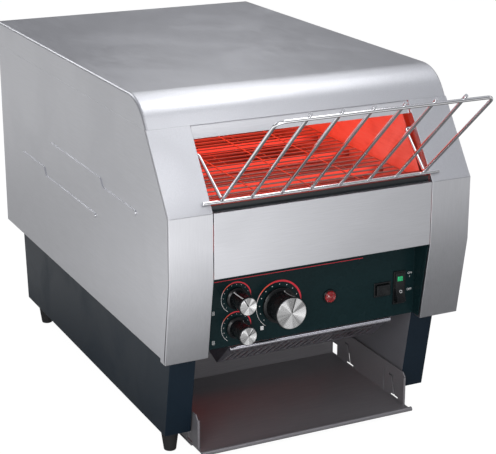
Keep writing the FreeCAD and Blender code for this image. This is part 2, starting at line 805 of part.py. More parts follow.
# Chamber walls, pierced for the heating elements and the spindle bushes
WALL_OUTLINE = [
    ("front + wall_front_low", "housing_floor"),
    ("front + wall_front_high", "undercut_height"),
    ("front + wall_front_high", "kink_height"),
    ("front + nose_setback + wall_front_high", "seam_height"),
    ("front + reflector_front", "reflector_height"),
    ("wall_back", "reflector_height"),
    ("wall_back", "housing_floor"),
]
ELEMENT_PLACES = [(f"front + upper_element_front + upper_element_pitch * {i}", "upper_element_height")
                  for i in range(UPPER_ELEMENT_COUNT)]
ELEMENT_PLACES += [(f"front + lower_element_front + lower_element_pitch * {i}", "belt_height")
                   for i in range(LOWER_ELEMENT_COUNT)]
SPINDLES = (("idler", "front_spindle"), ("drive", "back_spindle"))
for side, sign in (("left", "-"), ("right", "")):
    span = ("-wall_outer", "-wall_face") if sign else ("wall_face", "wall_outer")
    cut_span = [f"{span[0]} - cut_overrun", f"{span[1]} + cut_overrun"]
    holes = [rod(f"wall_{side}_hole_{i}", "x", *cut_span, "element_radius + element_hole_gap", place)
             for i, place in enumerate(ELEMENT_PLACES)]
    holes += [rod(f"wall_{side}_{shaft}_seat", "x", *cut_span, "bush_radius", (place, "belt_height"))
              for shaft, place in SPINDLES]
    if side == "right":
        holes.append(rod("wall_motor_passage", "x", *cut_span, "motor_shaft_radius + wheel_gap",
                         ("back_spindle", "motor_height")))
    sheet_side = plate(f"chamber_{side}_sheet", "YZ", WALL_OUTLINE, *span)
    keep(f"chamber_wall_{side}", cut(f"chamber_wall_{side}", sheet_side, *holes))

# Upper reflector with a front lip and a back curtain, and the insulation on it
reflector_points = [
    ("front + reflector_front", "reflector_height - reflector_lip"),
    ("front + reflector_front", "reflector_height + sheet_gauge"),
    ("wall_back", "reflector_height + sheet_gauge"),
    ("wall_back", "curtain_bottom"),
    ("wall_back - sheet_gauge", "curtain_bottom"),
    ("wall_back - sheet_gauge", "reflector_height"),
    ("front + reflector_front + sheet_gauge", "reflector_height"),
    ("front + reflector_front + sheet_gauge", "reflector_height - reflector_lip"),
]
keep("upper_reflector", plate("upper_reflector", "YZ", reflector_points, "-opening_half", "opening_half"))
keep("insulation_top", box("insulation_top", ("-opening_half + insulation_margin",
                                              "opening_half - insulation_margin"),
                           ("front + insulation_front", "wall_back - insulation_margin"),
                           ("reflector_height + sheet_gauge",
                            "housing_top - sheet_gauge - sheet_clearance")))

# Heat shield: the roof and back wall of the control box
shield_points = [
    ("front + wall_front_low", "shield_height"),
    ("front + wall_front_low", "shield_height + sheet_gauge"),
    ("front + shield_back + sheet_gauge", "shield_height + sheet_gauge"),
    ("front + shield_back + sheet_gauge", "housing_floor"),
    ("front + shield_back", "housing_floor"),
    ("front + shield_back", "shield_height"),
]
keep("heat_shield", plate("heat_shield", "YZ", shield_points, "-opening_half", "opening_half"))

# Heating elements: straight sheathed rods through the chamber walls
ELEMENT_ROWS = (("upper", 0, UPPER_ELEMENT_COUNT), ("lower", UPPER_ELEMENT_COUNT, LOWER_ELEMENT_COUNT))
for row, first, count in ELEMENT_ROWS:
    rods = [rod(f"{row}_element_{i}", "x", "-wall_outer - element_overhang", "wall_outer + element_overhang",
                "element_radius", ELEMENT_PLACES[first + i]) for i in range(count)]
    keep(f"{row}_elements", group(f"{row}_elements", *rods))


def belt_run(bottom):
    """One straight run of the belt as a flat net of strands and rungs."""
    half, low, high = number("belt_width / 2"), number("front_spindle"), number("back_spindle")
    strand = number("belt_strand")
    lane = (2 * half - strand) / BELT_LANE_COUNT
    rungs = round((high - low) / number("belt_rung_pitch"))
    step = (high - low) / rungs

    def loop(x0, x1, y0, y1):
        corners = [Vector(x0, y0, bottom), Vector(x1, y0, bottom), Vector(x1, y1, bottom),
                   Vector(x0, y1, bottom)]
        return Part.makePolygon(corners + corners[:1])
    loops = [loop(-half, half, low, high)]
    for i in range(rungs):
        for j in range(BELT_LANE_COUNT):
            left = -half + strand + lane * j
            loops.append(loop(left, left + lane - strand,
                              low + step * i + strand / 2, low + step * (i + 1) - strand / 2))
    face = Part.makeFace(loops, "Part::FaceMakerBullseye")
    return face.extrude(Vector(0, 0, number("belt_gauge")))


def belt_turn(place, way):
    """The half turn of the belt round one spindle, bulging towards way, with its gaps."""
    half, strand = number("belt_width / 2"), number("belt_strand")
    inner, outer = number("belt_inner_radius"), number("belt_outer_radius")
    centre = Vector(-half, place, number("belt_height"))
    up = Vector(0, 0, 1)

    def arc(radius):
        return Part.Arc(centre + up * radius, centre + Vector(0, way * radius, 0), centre - up * radius)
    sides = [Part.LineSegment(centre + up * inner, centre + up * outer),
             Part.LineSegment(centre - up * inner, centre - up * outer)]
    edges = [curve.toShape() for curve in [arc(inner), arc(outer)] + sides]
    turn = Part.Face(Part.Wire(Part.sortEdges(edges)[0])).extrude(Vector(2 * half, 0, 0))
    lane = (2 * half - strand) / BELT_LANE_COUNT
    gap = number("belt_rung_pitch - 2 * belt_strand")
    windows = []
    for j in range(BELT_LANE_COUNT):
        for k in range(TURN_WINDOW_COUNT):
            window = Part.makeBox(lane - strand, outer + gap, gap, Vector(strand + lane * j, 0, -gap / 2))
            window.rotate(Vector(0, 0, 0), Vector(1, 0, 0),
                          180 * (k + 1 / 2) / TURN_WINDOW_COUNT - 90 + (0 if way > 0 else 180))
            window.translate(centre)
            windows.append(window)
    return turn.cut(windows)


# Wire belt: two straight runs and the turns round the wheels at both ends, in one closed net
keep("wire_belt", shaped("wire_belt", belt_run(number("belt_height + belt_inner_radius")).fuse([
    belt_run(number("belt_height - belt_outer_radius")),
    belt_turn(number("front_spindle"), -1),
    belt_turn(number("back_spindle"), 1)])))

# Spindles with their bushes, belt wheels and, on the drive shaft, the chain wheel
bushes = []
for shaft, place in SPINDLES:
    for side, sign in (("left", "-"), ("right", "")):
        barrel = ["wall_face", "wall_outer + bush_flange"]
        flange = ["wall_outer", "wall_outer + bush_flange"]
        bore = ["wall_face - cut_overrun", "wall_outer + bush_flange + cut_overrun"]
        if sign:
            barrel, flange, bore = [mirrored(span) for span in (barrel, flange, bore)]
        name = f"{shaft}_{side}_bush"
        bush = fuse(name + "_blank",
                    rod(name + "_barrel", "x", *barrel, "bush_radius", (place, "belt_height")),
                    rod(name + "_flange", "x", *flange, "bush_flange_radius", (place, "belt_height")))
        bushes.append(cut(name, bush, rod(name + "_bore", "x", *bore, "spindle_radius + spindle_running_gap",
                                          (place, "belt_height"))))
keep("spindle_bushes", group("spindle_bushes", *bushes))

keep("idler_shaft", rod("idler_shaft", "x", "-wall_outer - spindle_overhang", "wall_outer + spindle_overhang",
                        "spindle_radius", ("front_spindle", "belt_height")))
keep("drive_shaft", rod("drive_shaft", "x", "-wall_outer - spindle_overhang",
                        "chain_plane + chain_wheel_width + spindle_overhang / 2",
                        "spindle_radius", ("back_spindle", "belt_height")))
for shaft, place in SPINDLES:
    wheels = []
    for i in range(BELT_WHEEL_COUNT):
        across = number(f"belt_lane_pitch * {i - (BELT_WHEEL_COUNT - 1) / 2} - belt_wheel_width / 2")
        wheels.append(toothed_wheel(Vector(across, number(place), number("belt_height")),
                                    number("belt_wheel_width"), number("belt_wheel_radius"),
                                    number("tooth_depth"), number("spindle_radius")))
    if shaft == "drive":
        across = number("chain_plane - chain_wheel_width / 2")
        wheels.append(toothed_wheel(Vector(across, number(place), number("belt_height")),
                                    number("chain_wheel_width"), number("chain_wheel_radius"),
                                    number("tooth_depth"), number("spindle_radius")))
    keep(f"{shaft}_wheels", shaped(f"{shaft}_wheels", Part.Compound(wheels)))

# Chain drive from the gearmotor up to the drive shaft
motor_wheel = toothed_wheel(
    Vector(number("chain_plane - chain_wheel_width / 2"), number("back_spindle"), number("motor_height")),
    number("chain_wheel_width"), number("chain_wheel_radius"), number("tooth_depth"),
    number("motor_shaft_radius"))
motor_stub = Part.makeCylinder(
    number("motor_shaft_radius"), number("motor_box_start + side_fold - chain_plane + chain_wheel_width"),
    Vector(number("chain_plane - chain_wheel_width"), number("back_spindle"), number("motor_height")),
    Vector(1, 0, 0))
keep("motor_sprocket", shaped("motor_sprocket", Part.Compound([motor_wheel.fuse(motor_stub)])))


def chain_loop(inner, outer, x, width, y, low, high):
    """A flat closed band round two equal wheels, one above the other."""
    def rim(radius):
        top, bottom = Vector(x, y, high), Vector(x, y, low)
        aside, up = Vector(0, radius, 0), Vector(0, 0, radius)
        return Part.Wire([
            Part.LineSegment(bottom + aside, top + aside).toShape(),
            Part.Arc(top + aside, top + up, top - aside).toShape(),
            Part.LineSegment(top - aside, bottom - aside).toShape(),
            Part.Arc(bottom - aside, bottom - up, bottom + aside).toShape()])
    return Part.makeFace([rim(outer), rim(inner)], "Part::FaceMakerBullseye").extrude(Vector(width, 0, 0))


keep("drive_chain", shaped("drive_chain", chain_loop(
    number("chain_inner_radius"), number("chain_inner_radius + chain_thickness"),
    number("chain_plane - chain_width / 2"), number("chain_width"), number("back_spindle"),
    number("motor_height"), number("belt_height"))))

gear_case = box("gear_case", ("motor_box_start", "motor_box_start + motor_box_width"),
                ("back_spindle - motor_box_depth / 2", "back_spindle + motor_box_depth / 2"),
                ("motor_height - motor_box_height / 2", "motor_height + motor_box_height / 2"))
motor_can = rod("motor_can", "y", "back_spindle - motor_box_depth / 2 - motor_length",
                "back_spindle - motor_box_depth / 2", "motor_radius",
                ("motor_box_start + motor_box_width - motor_radius", "motor_height"))
motor_bosses = []
for i, along in enumerate(("-", "+")):
    for j, up in enumerate(("-", "+")):
        motor_bosses.append(rod(f"motor_boss_{i}_{j}", "x", "wall_outer", "motor_box_start",
                                "motor_boss_radius",
                                (f"back_spindle {along} (motor_box_depth / 2 - motor_boss_radius)",
                                 f"motor_height {up} (motor_box_height / 2 - motor_boss_radius)")))
motor_blank = fuse("motor_blank", gear_case, motor_can, *motor_bosses)
motor_bore = rod("motor_bore", "x", "motor_box_start - cut_overrun",
                 "motor_box_start + side_fold + cut_overrun + chain_wheel_width",
                 "motor_shaft_radius + spindle_running_gap", ("back_spindle", "motor_height"))
keep("gearmotor", cut("gearmotor", motor_blank, motor_bore))

# Discharge chute from the end of the belt down to the tray
chute_floor = [
    ("front + chute_bottom_back", "chute_bottom"),
    ("front + chute_top_back", "chute_top"),
    ("front + chute_top_back", "chute_top - chute_gauge"),
    ("front + chute_bottom_back", "chute_bottom - chute_gauge"),
]
chute_wall = [
    ("front + chute_bottom_back", "chute_bottom"),
    ("front + chute_bottom_back", "chute_bottom + chute_side"),
    ("front + chute_top_back", "chute_top + chute_side"),
    ("front + chute_top_back", "chute_top"),
]
slide = plate("chute_slide", "YZ", chute_floor, "-opening_half", "opening_half")
left_side = plate("chute_left_side", "YZ", chute_wall, "-opening_half", "-opening_half + chute_gauge")
right_side = plate("chute_right_side", "YZ", chute_wall, "opening_half - chute_gauge", "opening_half")
keep("discharge_chute", fuse("discharge_chute", slide, left_side, right_side))

# Toast tray: a low pan with a rolled front lip, hemmed side walls and hook slots
tray_floor_sheet = box("tray_floor_sheet", ("-tray_outer_half", "tray_outer_half"),
                       ("front + tray_front", "front + tray_back + sheet_gauge"),
                       ("tray_underside", "tray_floor"))
tray_back_sheet = box("tray_back_sheet", ("-tray_outer_half", "tray_outer_half"),
                      ("front + tray_back", "front + tray_back + sheet_gauge"),
                      ("tray_underside", "tray_rim"))
tray_lip = rod("tray_lip", "x", "-tray_outer_half - tray_lip_overhang", "tray_outer_half + tray_lip_overhang",
               "tray_lip_radius", ("front + tray_front", "tray_floor"))
tray_pieces = [tray_floor_sheet, tray_back_sheet, tray_lip]
for side, sign in (("left", "-"), ("right", "")):
    span = ("-tray_outer_half", "-tray_half") if sign else ("tray_half", "tray_outer_half")
    wall = plate(f"tray_{side}_wall", "YZ", [
        ("front + tray_wall_front", "tray_underside"),
        ("front + tray_wall_front", "tray_rim - tray_corner_radius"),
        ("front + tray_wall_front + tray_corner_radius", "tray_rim"),
        ("front + tray_back + sheet_gauge", "tray_rim"),
        ("front + tray_back + sheet_gauge", "tray_underside"),
    ], *span)
    tray_pieces.append(wall)
    tray_pieces.append(rod(f"tray_{side}_hem", "z", "tray_underside", "tray_rim - tray_corner_radius",
                           "tray_hem_radius",
                           (f"{sign}(tray_outer_half - tray_hem_radius)", "front + tray_wall_front")))
tray_blank = fuse("tray_blank", *tray_pieces)
slot_span = ("-tray_outer_half - cut_overrun", "tray_outer_half + cut_overrun")
slot_low = "tray_floor + slot_sill"
slots = []
for i in range(2):
    start = f"front + hook_slot_start + hook_slot_spacing * {i}"
    stem = f"{start} + (hook_slot_foot - hook_slot_width) / 2"
    slots.append(plate(f"hook_slot_{i}", "YZ", [
        (start, slot_low),
        (f"{start} + hook_slot_foot", slot_low),
        (f"{start} + hook_slot_foot", f"{slot_low} + hook_slot_width"),
        (f"{stem} + hook_slot_width", f"{slot_low} + hook_slot_width"),
        (f"{stem} + hook_slot_lean + hook_slot_width", f"{slot_low} + hook_slot_rise - hook_slot_width"),
        (f"{stem} + hook_slot_lean + hook_slot_barb", f"{slot_low} + hook_slot_rise - hook_slot_width"),
        (f"{stem} + hook_slot_lean + hook_slot_barb", f"{slot_low} + hook_slot_rise"),
        (f"{stem} + hook_slot_lean", f"{slot_low} + hook_slot_rise"),
        (stem, f"{slot_low} + hook_slot_width"),
        (start, f"{slot_low} + hook_slot_width"),
    ], *slot_span))
slots.append(box("narrow_slot", slot_span,
                 ("front + narrow_slot_start", "front + narrow_slot_start + narrow_slot_width"),
                 (slot_low, f"{slot_low} + hook_slot_rise + hook_slot_width")))
slots.append(box("drain_window", slot_span, ("front + drain_start", "front + drain_start + drain_length"),
                 (slot_low, f"{slot_low} + drain_height")))
keep("toast_tray", cut("toast_tray", tray_blank, *slots))

# Rails under the base that carry the tray by its floor, open beside the slots of the tray walls
RAIL_WINDOWS = (
    ("front + hook_slot_start - rail_window_margin",
     "front + narrow_slot_start + narrow_slot_width + rail_window_reach"),
    ("front + hook_slot_start + hook_slot_spacing - rail_window_margin",
     "front + hook_slot_start + hook_slot_spacing + hook_slot_foot + rail_window_reach"),
    ("front + drain_start - rail_window_margin", "front + rail_back + cut_overrun"),
)
rails = []
for side, sign in (("left", "-"), ("right", "")):
    web = ["tray_outer_half + tray_lip_overhang", "tray_outer_half + tray_lip_overhang + base_gauge"]
    flange = ["tray_outer_half + tray_lip_overhang - rail_flange", web[1]]
    tab = [web[0], "foot_column - foot_radius - sheet_clearance"]
    if sign:
        web, flange, tab = [mirrored(span) for span in (web, flange, tab)]
    along = ("front + rail_front", "front + rail_back")
    solid_rail = fuse(f"rail_{side}_solid", box(f"rail_{side}_web", web, along,
                                                ("tray_underside - rail_gap - base_gauge", "base_bottom")),
                      box(f"rail_{side}_flange", flange, along,
                          ("tray_underside - rail_gap - base_gauge", "tray_underside - rail_gap")),
                      box(f"rail_{side}_tab", tab,
                          ("front + base_front_bottom + cut_overrun", "front + rail_back"),
                          ("base_bottom - base_gauge", "base_bottom")))
    windows = [box(f"rail_{side}_window_{i}", web, span,
                   ("tray_underside - rail_gap - base_gauge - cut_overrun", "base_bottom - base_gauge"))
               for i, span in enumerate(RAIL_WINDOWS)]
    rails.append(cut(f"rail_{side}", solid_rail, *windows))
keep("tray_rails", group("tray_rails", *rails))

# Control panel: a black pan with side flanges that follow the undercut of the posts
panel_sheet = box("panel_sheet", ("-panel_half", "panel_half"), ("panel_face", "panel_rear"),
                  ("housing_floor - sheet_gauge", "undercut_height"))
panel_cheek = [
    ("panel_rear", "housing_floor - sheet_gauge"),
    ("panel_rear", "undercut_height"),
    ("front + panel_edge_inset", "undercut_height"),
    ("front + undercut_setback + panel_edge_inset", "housing_floor - sheet_gauge"),
]
panel_cheeks = [plate("panel_left_cheek", "YZ", panel_cheek, "-panel_half", "-panel_half + sheet_gauge"),
                plate("panel_right_cheek", "YZ", panel_cheek, "panel_half - sheet_gauge", "panel_half")]
through = ("panel_face - cut_overrun", "panel_rear + cut_overrun")
KNOBS = (
    ("top_heat", "dial_column", "top_dial_height", "small", "top_rest_angle"),
    ("bottom_heat", "dial_column", "bottom_dial_height", "small", "bottom_rest_angle"),
    ("speed", "speed_dial_column", "speed_dial_height", "large", "speed_rest_angle"),
)
panel_holes = [rod(f"{name}_hole", "y", *through, "shaft_radius + shaft_passage", (x, z))
               for name, x, z, size, angle in KNOBS]
panel_holes.append(rod("lamp_hole", "y", *through, "lamp_radius + shaft_fit", ("lamp_column", "lamp_height")))


def window(name, column, centre, width, height, wall, y):
    """A block centred on the panel, narrower by wall all round."""
    return box(name, (f"{column} - {width} / 2 + ({wall})", f"{column} + {width} / 2 - ({wall})"), y,
               (f"{centre} - {height} / 2 + ({wall})", f"{centre} + {height} / 2 - ({wall})"))


ROCKER = ("rocker_column", "rocker_centre", "rocker_frame_width", "rocker_frame_height")
BUTTON = ("button_column", "button_centre", "button_frame_width", "button_frame_height")
panel_holes.append(window("rocker_hole", *ROCKER, "rocker_frame_wall / 2", through))
panel_holes.append(window("button_hole", *BUTTON, "button_frame_wall / 2", through))
keep("control_panel", cut("control_panel", fuse("panel_blank", panel_sheet, *panel_cheeks), *panel_holes))

# Knobs with spun metal caps, their shafts and the switches behind the panel
blocks = []
for name, x, z, size, angle in KNOBS:
    face, skirt, waist = f"{size}_face_radius", f"{size}_skirt_radius", f"{size}_body_radius"
    knob = turned(f"{name}_knob", [
        ("shaft_radius", "-knob_gap"),
        (skirt, "-knob_gap"),
        (skirt, "-knob_gap - knob_skirt"),
        (waist, "-knob_gap - knob_skirt - knob_bevel"),
        (face, "-knob_height + knob_bevel"),
        (f"{face} - knob_bevel", "-knob_height"),
        ("0", "-knob_height"),
        ("0", "-knob_height + knob_top_wall"),
        ("shaft_radius", "-knob_height + knob_top_wall"),
    ], x, "panel_face", z)
    keep(f"{name}_knob", knob)
    disc = turned(f"{name}_disc", [
        ("0", "0"),
        (f"{face} - cap_rim", "0"),
        (f"{face} - cap_rim", "-cap_thickness + cap_rim / 2"),
        (f"{face} - 3 / 2 * cap_rim", "-cap_thickness"),
        ("0", "-cap_thickness"),
    ], x, "panel_face - knob_height", z)
    groove = box(f"{name}_groove", ("-pointer_width / 2", "pointer_width / 2"),
                 ("-cap_thickness - cut_overrun", "-cap_thickness / 2"),
                 ("0", f"{face} * pointer_share"))
    doc.recompute()
    tool = groove.Shape.copy()
    tool.rotate(Vector(0, 0, 0), Vector(0, 1, 0), number(angle))
    tool.translate(Vector(number(x), number("panel_face - knob_height"), number(z)))
    keep(f"{name}_cap", shaped(f"{name}_cap", disc.Shape.cut(tool)))
    keep(f"{name}_shaft", rod(f"{name}_shaft", "y", "panel_face - knob_height + knob_top_wall",
                              "panel_rear + shaft_tail", "shaft_radius", (x, z)))
    block = box(f"{name}_block", (f"{x} - switch_width / 2", f"{x} + switch_width / 2"),
                ("panel_rear", "panel_rear + switch_depth"),
                (f"{z} - switch_height / 2", f"{z} + switch_height / 2"))
    blocks.append(cut(f"{name}_switch", block,
                      rod(f"{name}_switch_bore", "y", "panel_rear - cut_overrun",
                          "panel_rear + shaft_tail + cut_overrun", "shaft_radius + shaft_passage", (x, z))))
keep("knob_switches", group("knob_switches", *blocks))

# Pilot lamp: a crowned red lens in a raised ring, its crown as shares of radius and rise
LENS_SHARES = ((0.72, 0.75), (0.36, 0.96), (0, 1))
keep("lamp_bezel", turned("lamp_bezel", [
    ("lamp_radius", "0"),
    ("lamp_bezel_radius", "0"),
    ("lamp_bezel_radius", "-lamp_bezel_rise + knob_bevel"),
    ("lamp_bezel_radius - knob_bevel", "-lamp_bezel_rise"),
    ("lamp_radius", "-lamp_bezel_rise"),
], "lamp_column", "panel_face", "lamp_height"))
keep("pilot_lamp", turned("pilot_lamp", [
    ("0", "lamp_tail"),
    ("lamp_radius", "lamp_tail"),
    ("lamp_radius", "-lamp_bezel_rise - knob_bevel"),
] + [(f"lamp_radius * {out}", f"-lamp_bezel_rise - lamp_crown * {rise}") for out, rise in LENS_SHARES],
    "lamp_column", "panel_face", "lamp_height"))

# Power rocker on its axle in its frame, pressed in at the top when on
rocker_outer = window("rocker_outer", *ROCKER, "0", ("panel_face - rocker_frame_rise", "panel_face"))
rocker_barrel = window("rocker_barrel", *ROCKER, "rocker_frame_wall / 2",
                       ("panel_face", "panel_rear + rocker_frame_tail"))
rocker_well = window("rocker_well", *ROCKER, "rocker_frame_wall",
                     ("panel_face - rocker_frame_rise - cut_overrun",
                      "panel_rear + rocker_frame_tail - sheet_gauge"))
rocker_blank = fuse("rocker_frame_blank", rocker_outer, rocker_barrel)
rocker_axis = ("panel_face + rocker_axle_depth", "rocker_centre")
axle_seat = rod("rocker_axle_seat", "x", "rocker_column - rocker_frame_width",
                "rocker_column + rocker_frame_width", "rocker_axle_radius + spindle_running_gap", rocker_axis)
keep("rocker_frame", cut("rocker_frame", rocker_blank, fuse("rocker_frame_room", rocker_well, axle_seat)))
rocker = plate("rocker_paddle", "YZ", [
    ("-rocker_axle_depth - rocker_valley", "0"),
    ("-rocker_axle_depth - rocker_tip", "rocker_reach"),
    ("-rocker_axle_depth / 2", "rocker_reach"),
    ("rocker_heel", "rocker_heel_reach"),
    ("rocker_heel", "-rocker_heel_reach"),
    ("-rocker_axle_depth / 2", "-rocker_reach"),
    ("-rocker_axle_depth - rocker_tip", "-rocker_reach"),
], "-rocker_frame_width / 2 + rocker_frame_wall + sheet_clearance",
    "rocker_frame_width / 2 - rocker_frame_wall - sheet_clearance")
rocker.Placement = Placement(Vector(0, 0, 0), Rotation(Vector(-1, 0, 0), number("rocker_swing / 2")))
bind(rocker, "Placement.Rotation.Angle", "rocker_swing / 2")
bind(rocker, "Placement.Base.x", "rocker_column")
bind(rocker, "Placement.Base.y", "panel_face + rocker_axle_depth")
bind(rocker, "Placement.Base.z", "rocker_centre")
axle_half = "(rocker_frame_width / 2 - rocker_frame_wall / 2 - sheet_clearance)"
keep("power_rocker", fuse("power_rocker", rocker, rod(
    "rocker_axle", "x", f"rocker_column - {axle_half}", f"rocker_column + {axle_half}",
    "rocker_axle_radius", rocker_axis)))

# Square push button in its frame
button_outer = window("button_outer", *BUTTON, "0", ("panel_face - button_frame_rise", "panel_face"))
button_barrel = window("button_barrel", *BUTTON, "button_frame_wall / 2",
                       ("panel_face", "panel_rear + button_frame_tail"))
button_well = window("button_well", *BUTTON, "button_frame_wall",
                     ("panel_face - button_frame_rise - cut_overrun",
                      "panel_rear + button_frame_tail - sheet_gauge"))
button_blank = fuse("button_frame_blank", button_outer, button_barrel)
keep("power_save_frame", cut("power_save_frame", button_blank, button_well))
button = window("power_save_plunger", *BUTTON, "button_frame_wall + sheet_clearance",
                ("panel_face - button_rise", "panel_face + button_tail"))
doc.recompute()
rounded = doc.addObject("Part::Fillet", "power_save_button")
rounded.Base = button
front_edges = [i for i, edge in enumerate(button.Shape.Edges, start=1)
               if abs(edge.CenterOfMass.y - number("panel_face - button_rise")) < number("sheet_clearance")]
rounded.Edges = [(i, number("button_edge"), number("button_edge")) for i in front_edges]
keep("power_save_button", rounded)


def guard_net():
    """The slanted guard sheet with rows of leaning slots, from its own named sizes."""
    top = Vector(0, number("front + guard_front"), number("guard_top"))
    foot = Vector(0, number("front + guard_back"), number("guard_bottom"))
    down = foot - top
    length = down.Length
    down.normalize()
    out = Vector(0, down.z, -down.y)
    half, border, strand = number("guard_half"), number("guard_border"), number("guard_strand")
    pitch, lean = number("guard_slot_pitch"), number("guard_slot_lean")

    def loop(corners):
        places = [top + Vector(x, 0, 0) + down * along for x, along in corners]
        return Part.makePolygon(places + places[:1])
    loops = [loop([(-half, 0), (half, 0), (half, length), (-half, length)])]
    row_length = (length - 2 * border + strand) / GUARD_ROW_COUNT
    columns = int((2 * half - 2 * border - lean * GUARD_ROW_COUNT) / pitch)
    left = -columns * pitch / 2 + strand / 2
    for row_index in range(GUARD_ROW_COUNT):
        near = border + row_length * row_index
        far = near + row_length - strand
        shift = lean * ((GUARD_ROW_COUNT - 1) / 2 - row_index)
        for column in range(columns):
            x = left + column * pitch + shift
            wide = pitch - strand
            loops.append(loop([(x + lean / 2, near), (x + wide + lean / 2, near),
                               (x + wide - lean / 2, far), (x - lean / 2, far)]))
    face = Part.makeFace(loops, "Part::FaceMakerBullseye")
    return face.extrude(out * -number("guard_gauge"))


# Burn guard under the control panel: a slotted sheet with wings, and a bright rolled rim
wing_points = [
    ("front + guard_front + guard_gauge", "guard_top"),
    ("front + guard_back + guard_gauge", "guard_bottom"),
    ("front + guard_back + guard_wing_depth", "guard_bottom + guard_wing_drop"),
    ("front + guard_back + guard_wing_depth", "base_top - sheet_clearance"),
    ("front + guard_front + guard_gauge", "base_top - sheet_clearance"),
]
wings = [plate("guard_left_wing", "YZ", wing_points, "-guard_half", "-guard_half + guard_gauge"),
         plate("guard_right_wing", "YZ", wing_points, "guard_half - guard_gauge", "guard_half")]
doc.recompute()
keep("burn_guard", shaped("burn_guard", guard_net().fuse([wing.Shape for wing in wings]).removeSplitter()))
rim_bar = rod("guard_rim_bar", "x", "-guard_half", "guard_half", "guard_rim_radius",
              ("front + guard_front - guard_rim_radius / 2", "guard_top - guard_rim_radius / 2"))
keep("guard_rim", cut("guard_rim", rim_bar, nodes["burn_guard"]))


def rack_frame_wire():
    """The outer wire: hook, leg, crook at the rod, side and top bar, and back down the other side."""
    angle = math.radians(number("rack_angle"))
    lean = Vector(0, -math.cos(angle), math.sin(angle))
    rod_centre = Vector(0, number("front + rack_rod_run"), number("rack_rod_height"))
    half = number("rack_half")
    top = rod_centre + lean * number("rack_length")
    up_slant = Vector(0, number("slant_cos"), number("slant_sin"))
    inward = Vector(0, number("slant_sin"), -number("slant_cos"))
    bend = number("rack_bend")
    leg_top = rod_centre + up_slant * number("rack_leg") + inward * number("rack_leg_depth + rack_stand")
    seat = number("rack_rod_radius + rack_wire_radius")
    crook = rod_centre + lean * seat
    for step in range(3):
        leg_way = (leg_top - crook).normalize()
        half_angle = lean.getAngle(leg_way) / 2
        rise = (lean + leg_way).normalize() * (bend / math.sin(half_angle))
        along = lean.dot(rise)
        crook = rod_centre + lean * (math.sqrt(along ** 2 - rise.dot(rise) + (seat + bend) ** 2) - along)
    spread = half + number("rack_leg_spread")
    hook = half + number("rack_hook")
    left = [Vector(-hook, leg_top.y, leg_top.z), Vector(-spread, leg_top.y, leg_top.z),
            Vector(-half, crook.y, crook.z), Vector(-half, top.y, top.z)]
    right = [Vector(-point.x, point.y, point.z) for point in reversed(left)]
    corner = number("rack_corner")
    hook_bend = 2 * number("rack_wire_radius")
    return bent_wire(left + right, number("rack_wire_radius"),
                     [hook_bend, bend, corner, corner, bend, hook_bend])


def rack_inner_wire(across):
    """One straight wire from the rod to behind the top bar, sunk a little into it, and a nub past it."""
    angle = math.radians(number("rack_angle"))
    lean = Vector(0, -math.cos(angle), math.sin(angle))
    behind = Vector(0, math.sin(angle), math.cos(angle))
    start = Vector(across, number("front + rack_rod_run"), number("rack_rod_height"))
    crossing = start + lean * number("rack_length") + behind * number("rack_wire_drop")
    way = (crossing - start).normalize()
    end = crossing + way * number("rack_nub")
    return Part.makeCylinder(number("rack_wire_radius"), (end - start).Length, start, way)


# Feed rack: chrome wires that hang in the feed opening
keep("rack_frame", shaped("rack_frame", rack_frame_wire()))
keep("rack_rod", rod("rack_rod", "x", "-rack_rod_half", "rack_rod_half", "rack_rod_radius",
                     ("front + rack_rod_run", "rack_rod_height")))
doc.recompute()
wire_step = number("2 * rack_half") / (INNER_WIRE_COUNT + 1)
inner_wires = Part.Compound([rack_inner_wire(wire_step * (i - (INNER_WIRE_COUNT - 1) / 2))
                             for i in range(INNER_WIRE_COUNT)])
RACK_OUTER = [nodes["rack_frame"].Shape, nodes["rack_rod"].Shape]
keep("rack_wires", shaped("rack_wires", inner_wires.cut(RACK_OUTER)))

# Rear panel with the fan grille and the cord gland
rear_blank = box("rear_blank", ("-half_width", "half_width"),
                 ("rear_inner_face", "back"), ("housing_floor", "seam_height"))
rear_through = ("rear_inner_face - cut_overrun", "back + cut_overrun")
gland_hole = rod("gland_hole", "y", *rear_through, "gland_neck_radius", ("gland_column", "gland_height"))
rings = []
for i in range(FAN_RING_COUNT):
    outer = rod(f"grille_outer_{i}", "y", *rear_through,
                f"fan_bore_radius - grille_ring * {i}", ("0", "fan_height"))
    if i < FAN_RING_COUNT - 1:
        inner = rod(f"grille_inner_{i}", "y", *rear_through,
                    f"fan_bore_radius - grille_ring * {i + 1} + grille_bar", ("0", "fan_height"))
        rings.append(cut(f"grille_gap_{i}", outer, inner))
cross = [box("grille_cross", ("-fan_bore_radius - cut_overrun", "fan_bore_radius + cut_overrun"),
             rear_through, ("fan_height - grille_bar", "fan_height + grille_bar")),
         box("grille_post", ("-grille_bar", "grille_bar"), rear_through,
             ("fan_height - fan_bore_radius - cut_overrun", "fan_height + fan_bore_radius + cut_overrun"))]
grille_gaps = cut("grille_gaps", group("grille_rings", *rings[:-1]), fuse("grille_spokes", *cross))
screw_holes = [rod(f"rear_screw_hole_{i}_{j}", "y", *rear_through, "screw_radius + shaft_fit",
                   (f"{sign}screw_column", height))
               for i, sign in enumerate(("-", "")) for j, height in enumerate(SCREW_HEIGHTS)]
keep("rear_panel", cut("rear_panel", rear_blank, gland_hole, grille_gaps, *screw_holes))

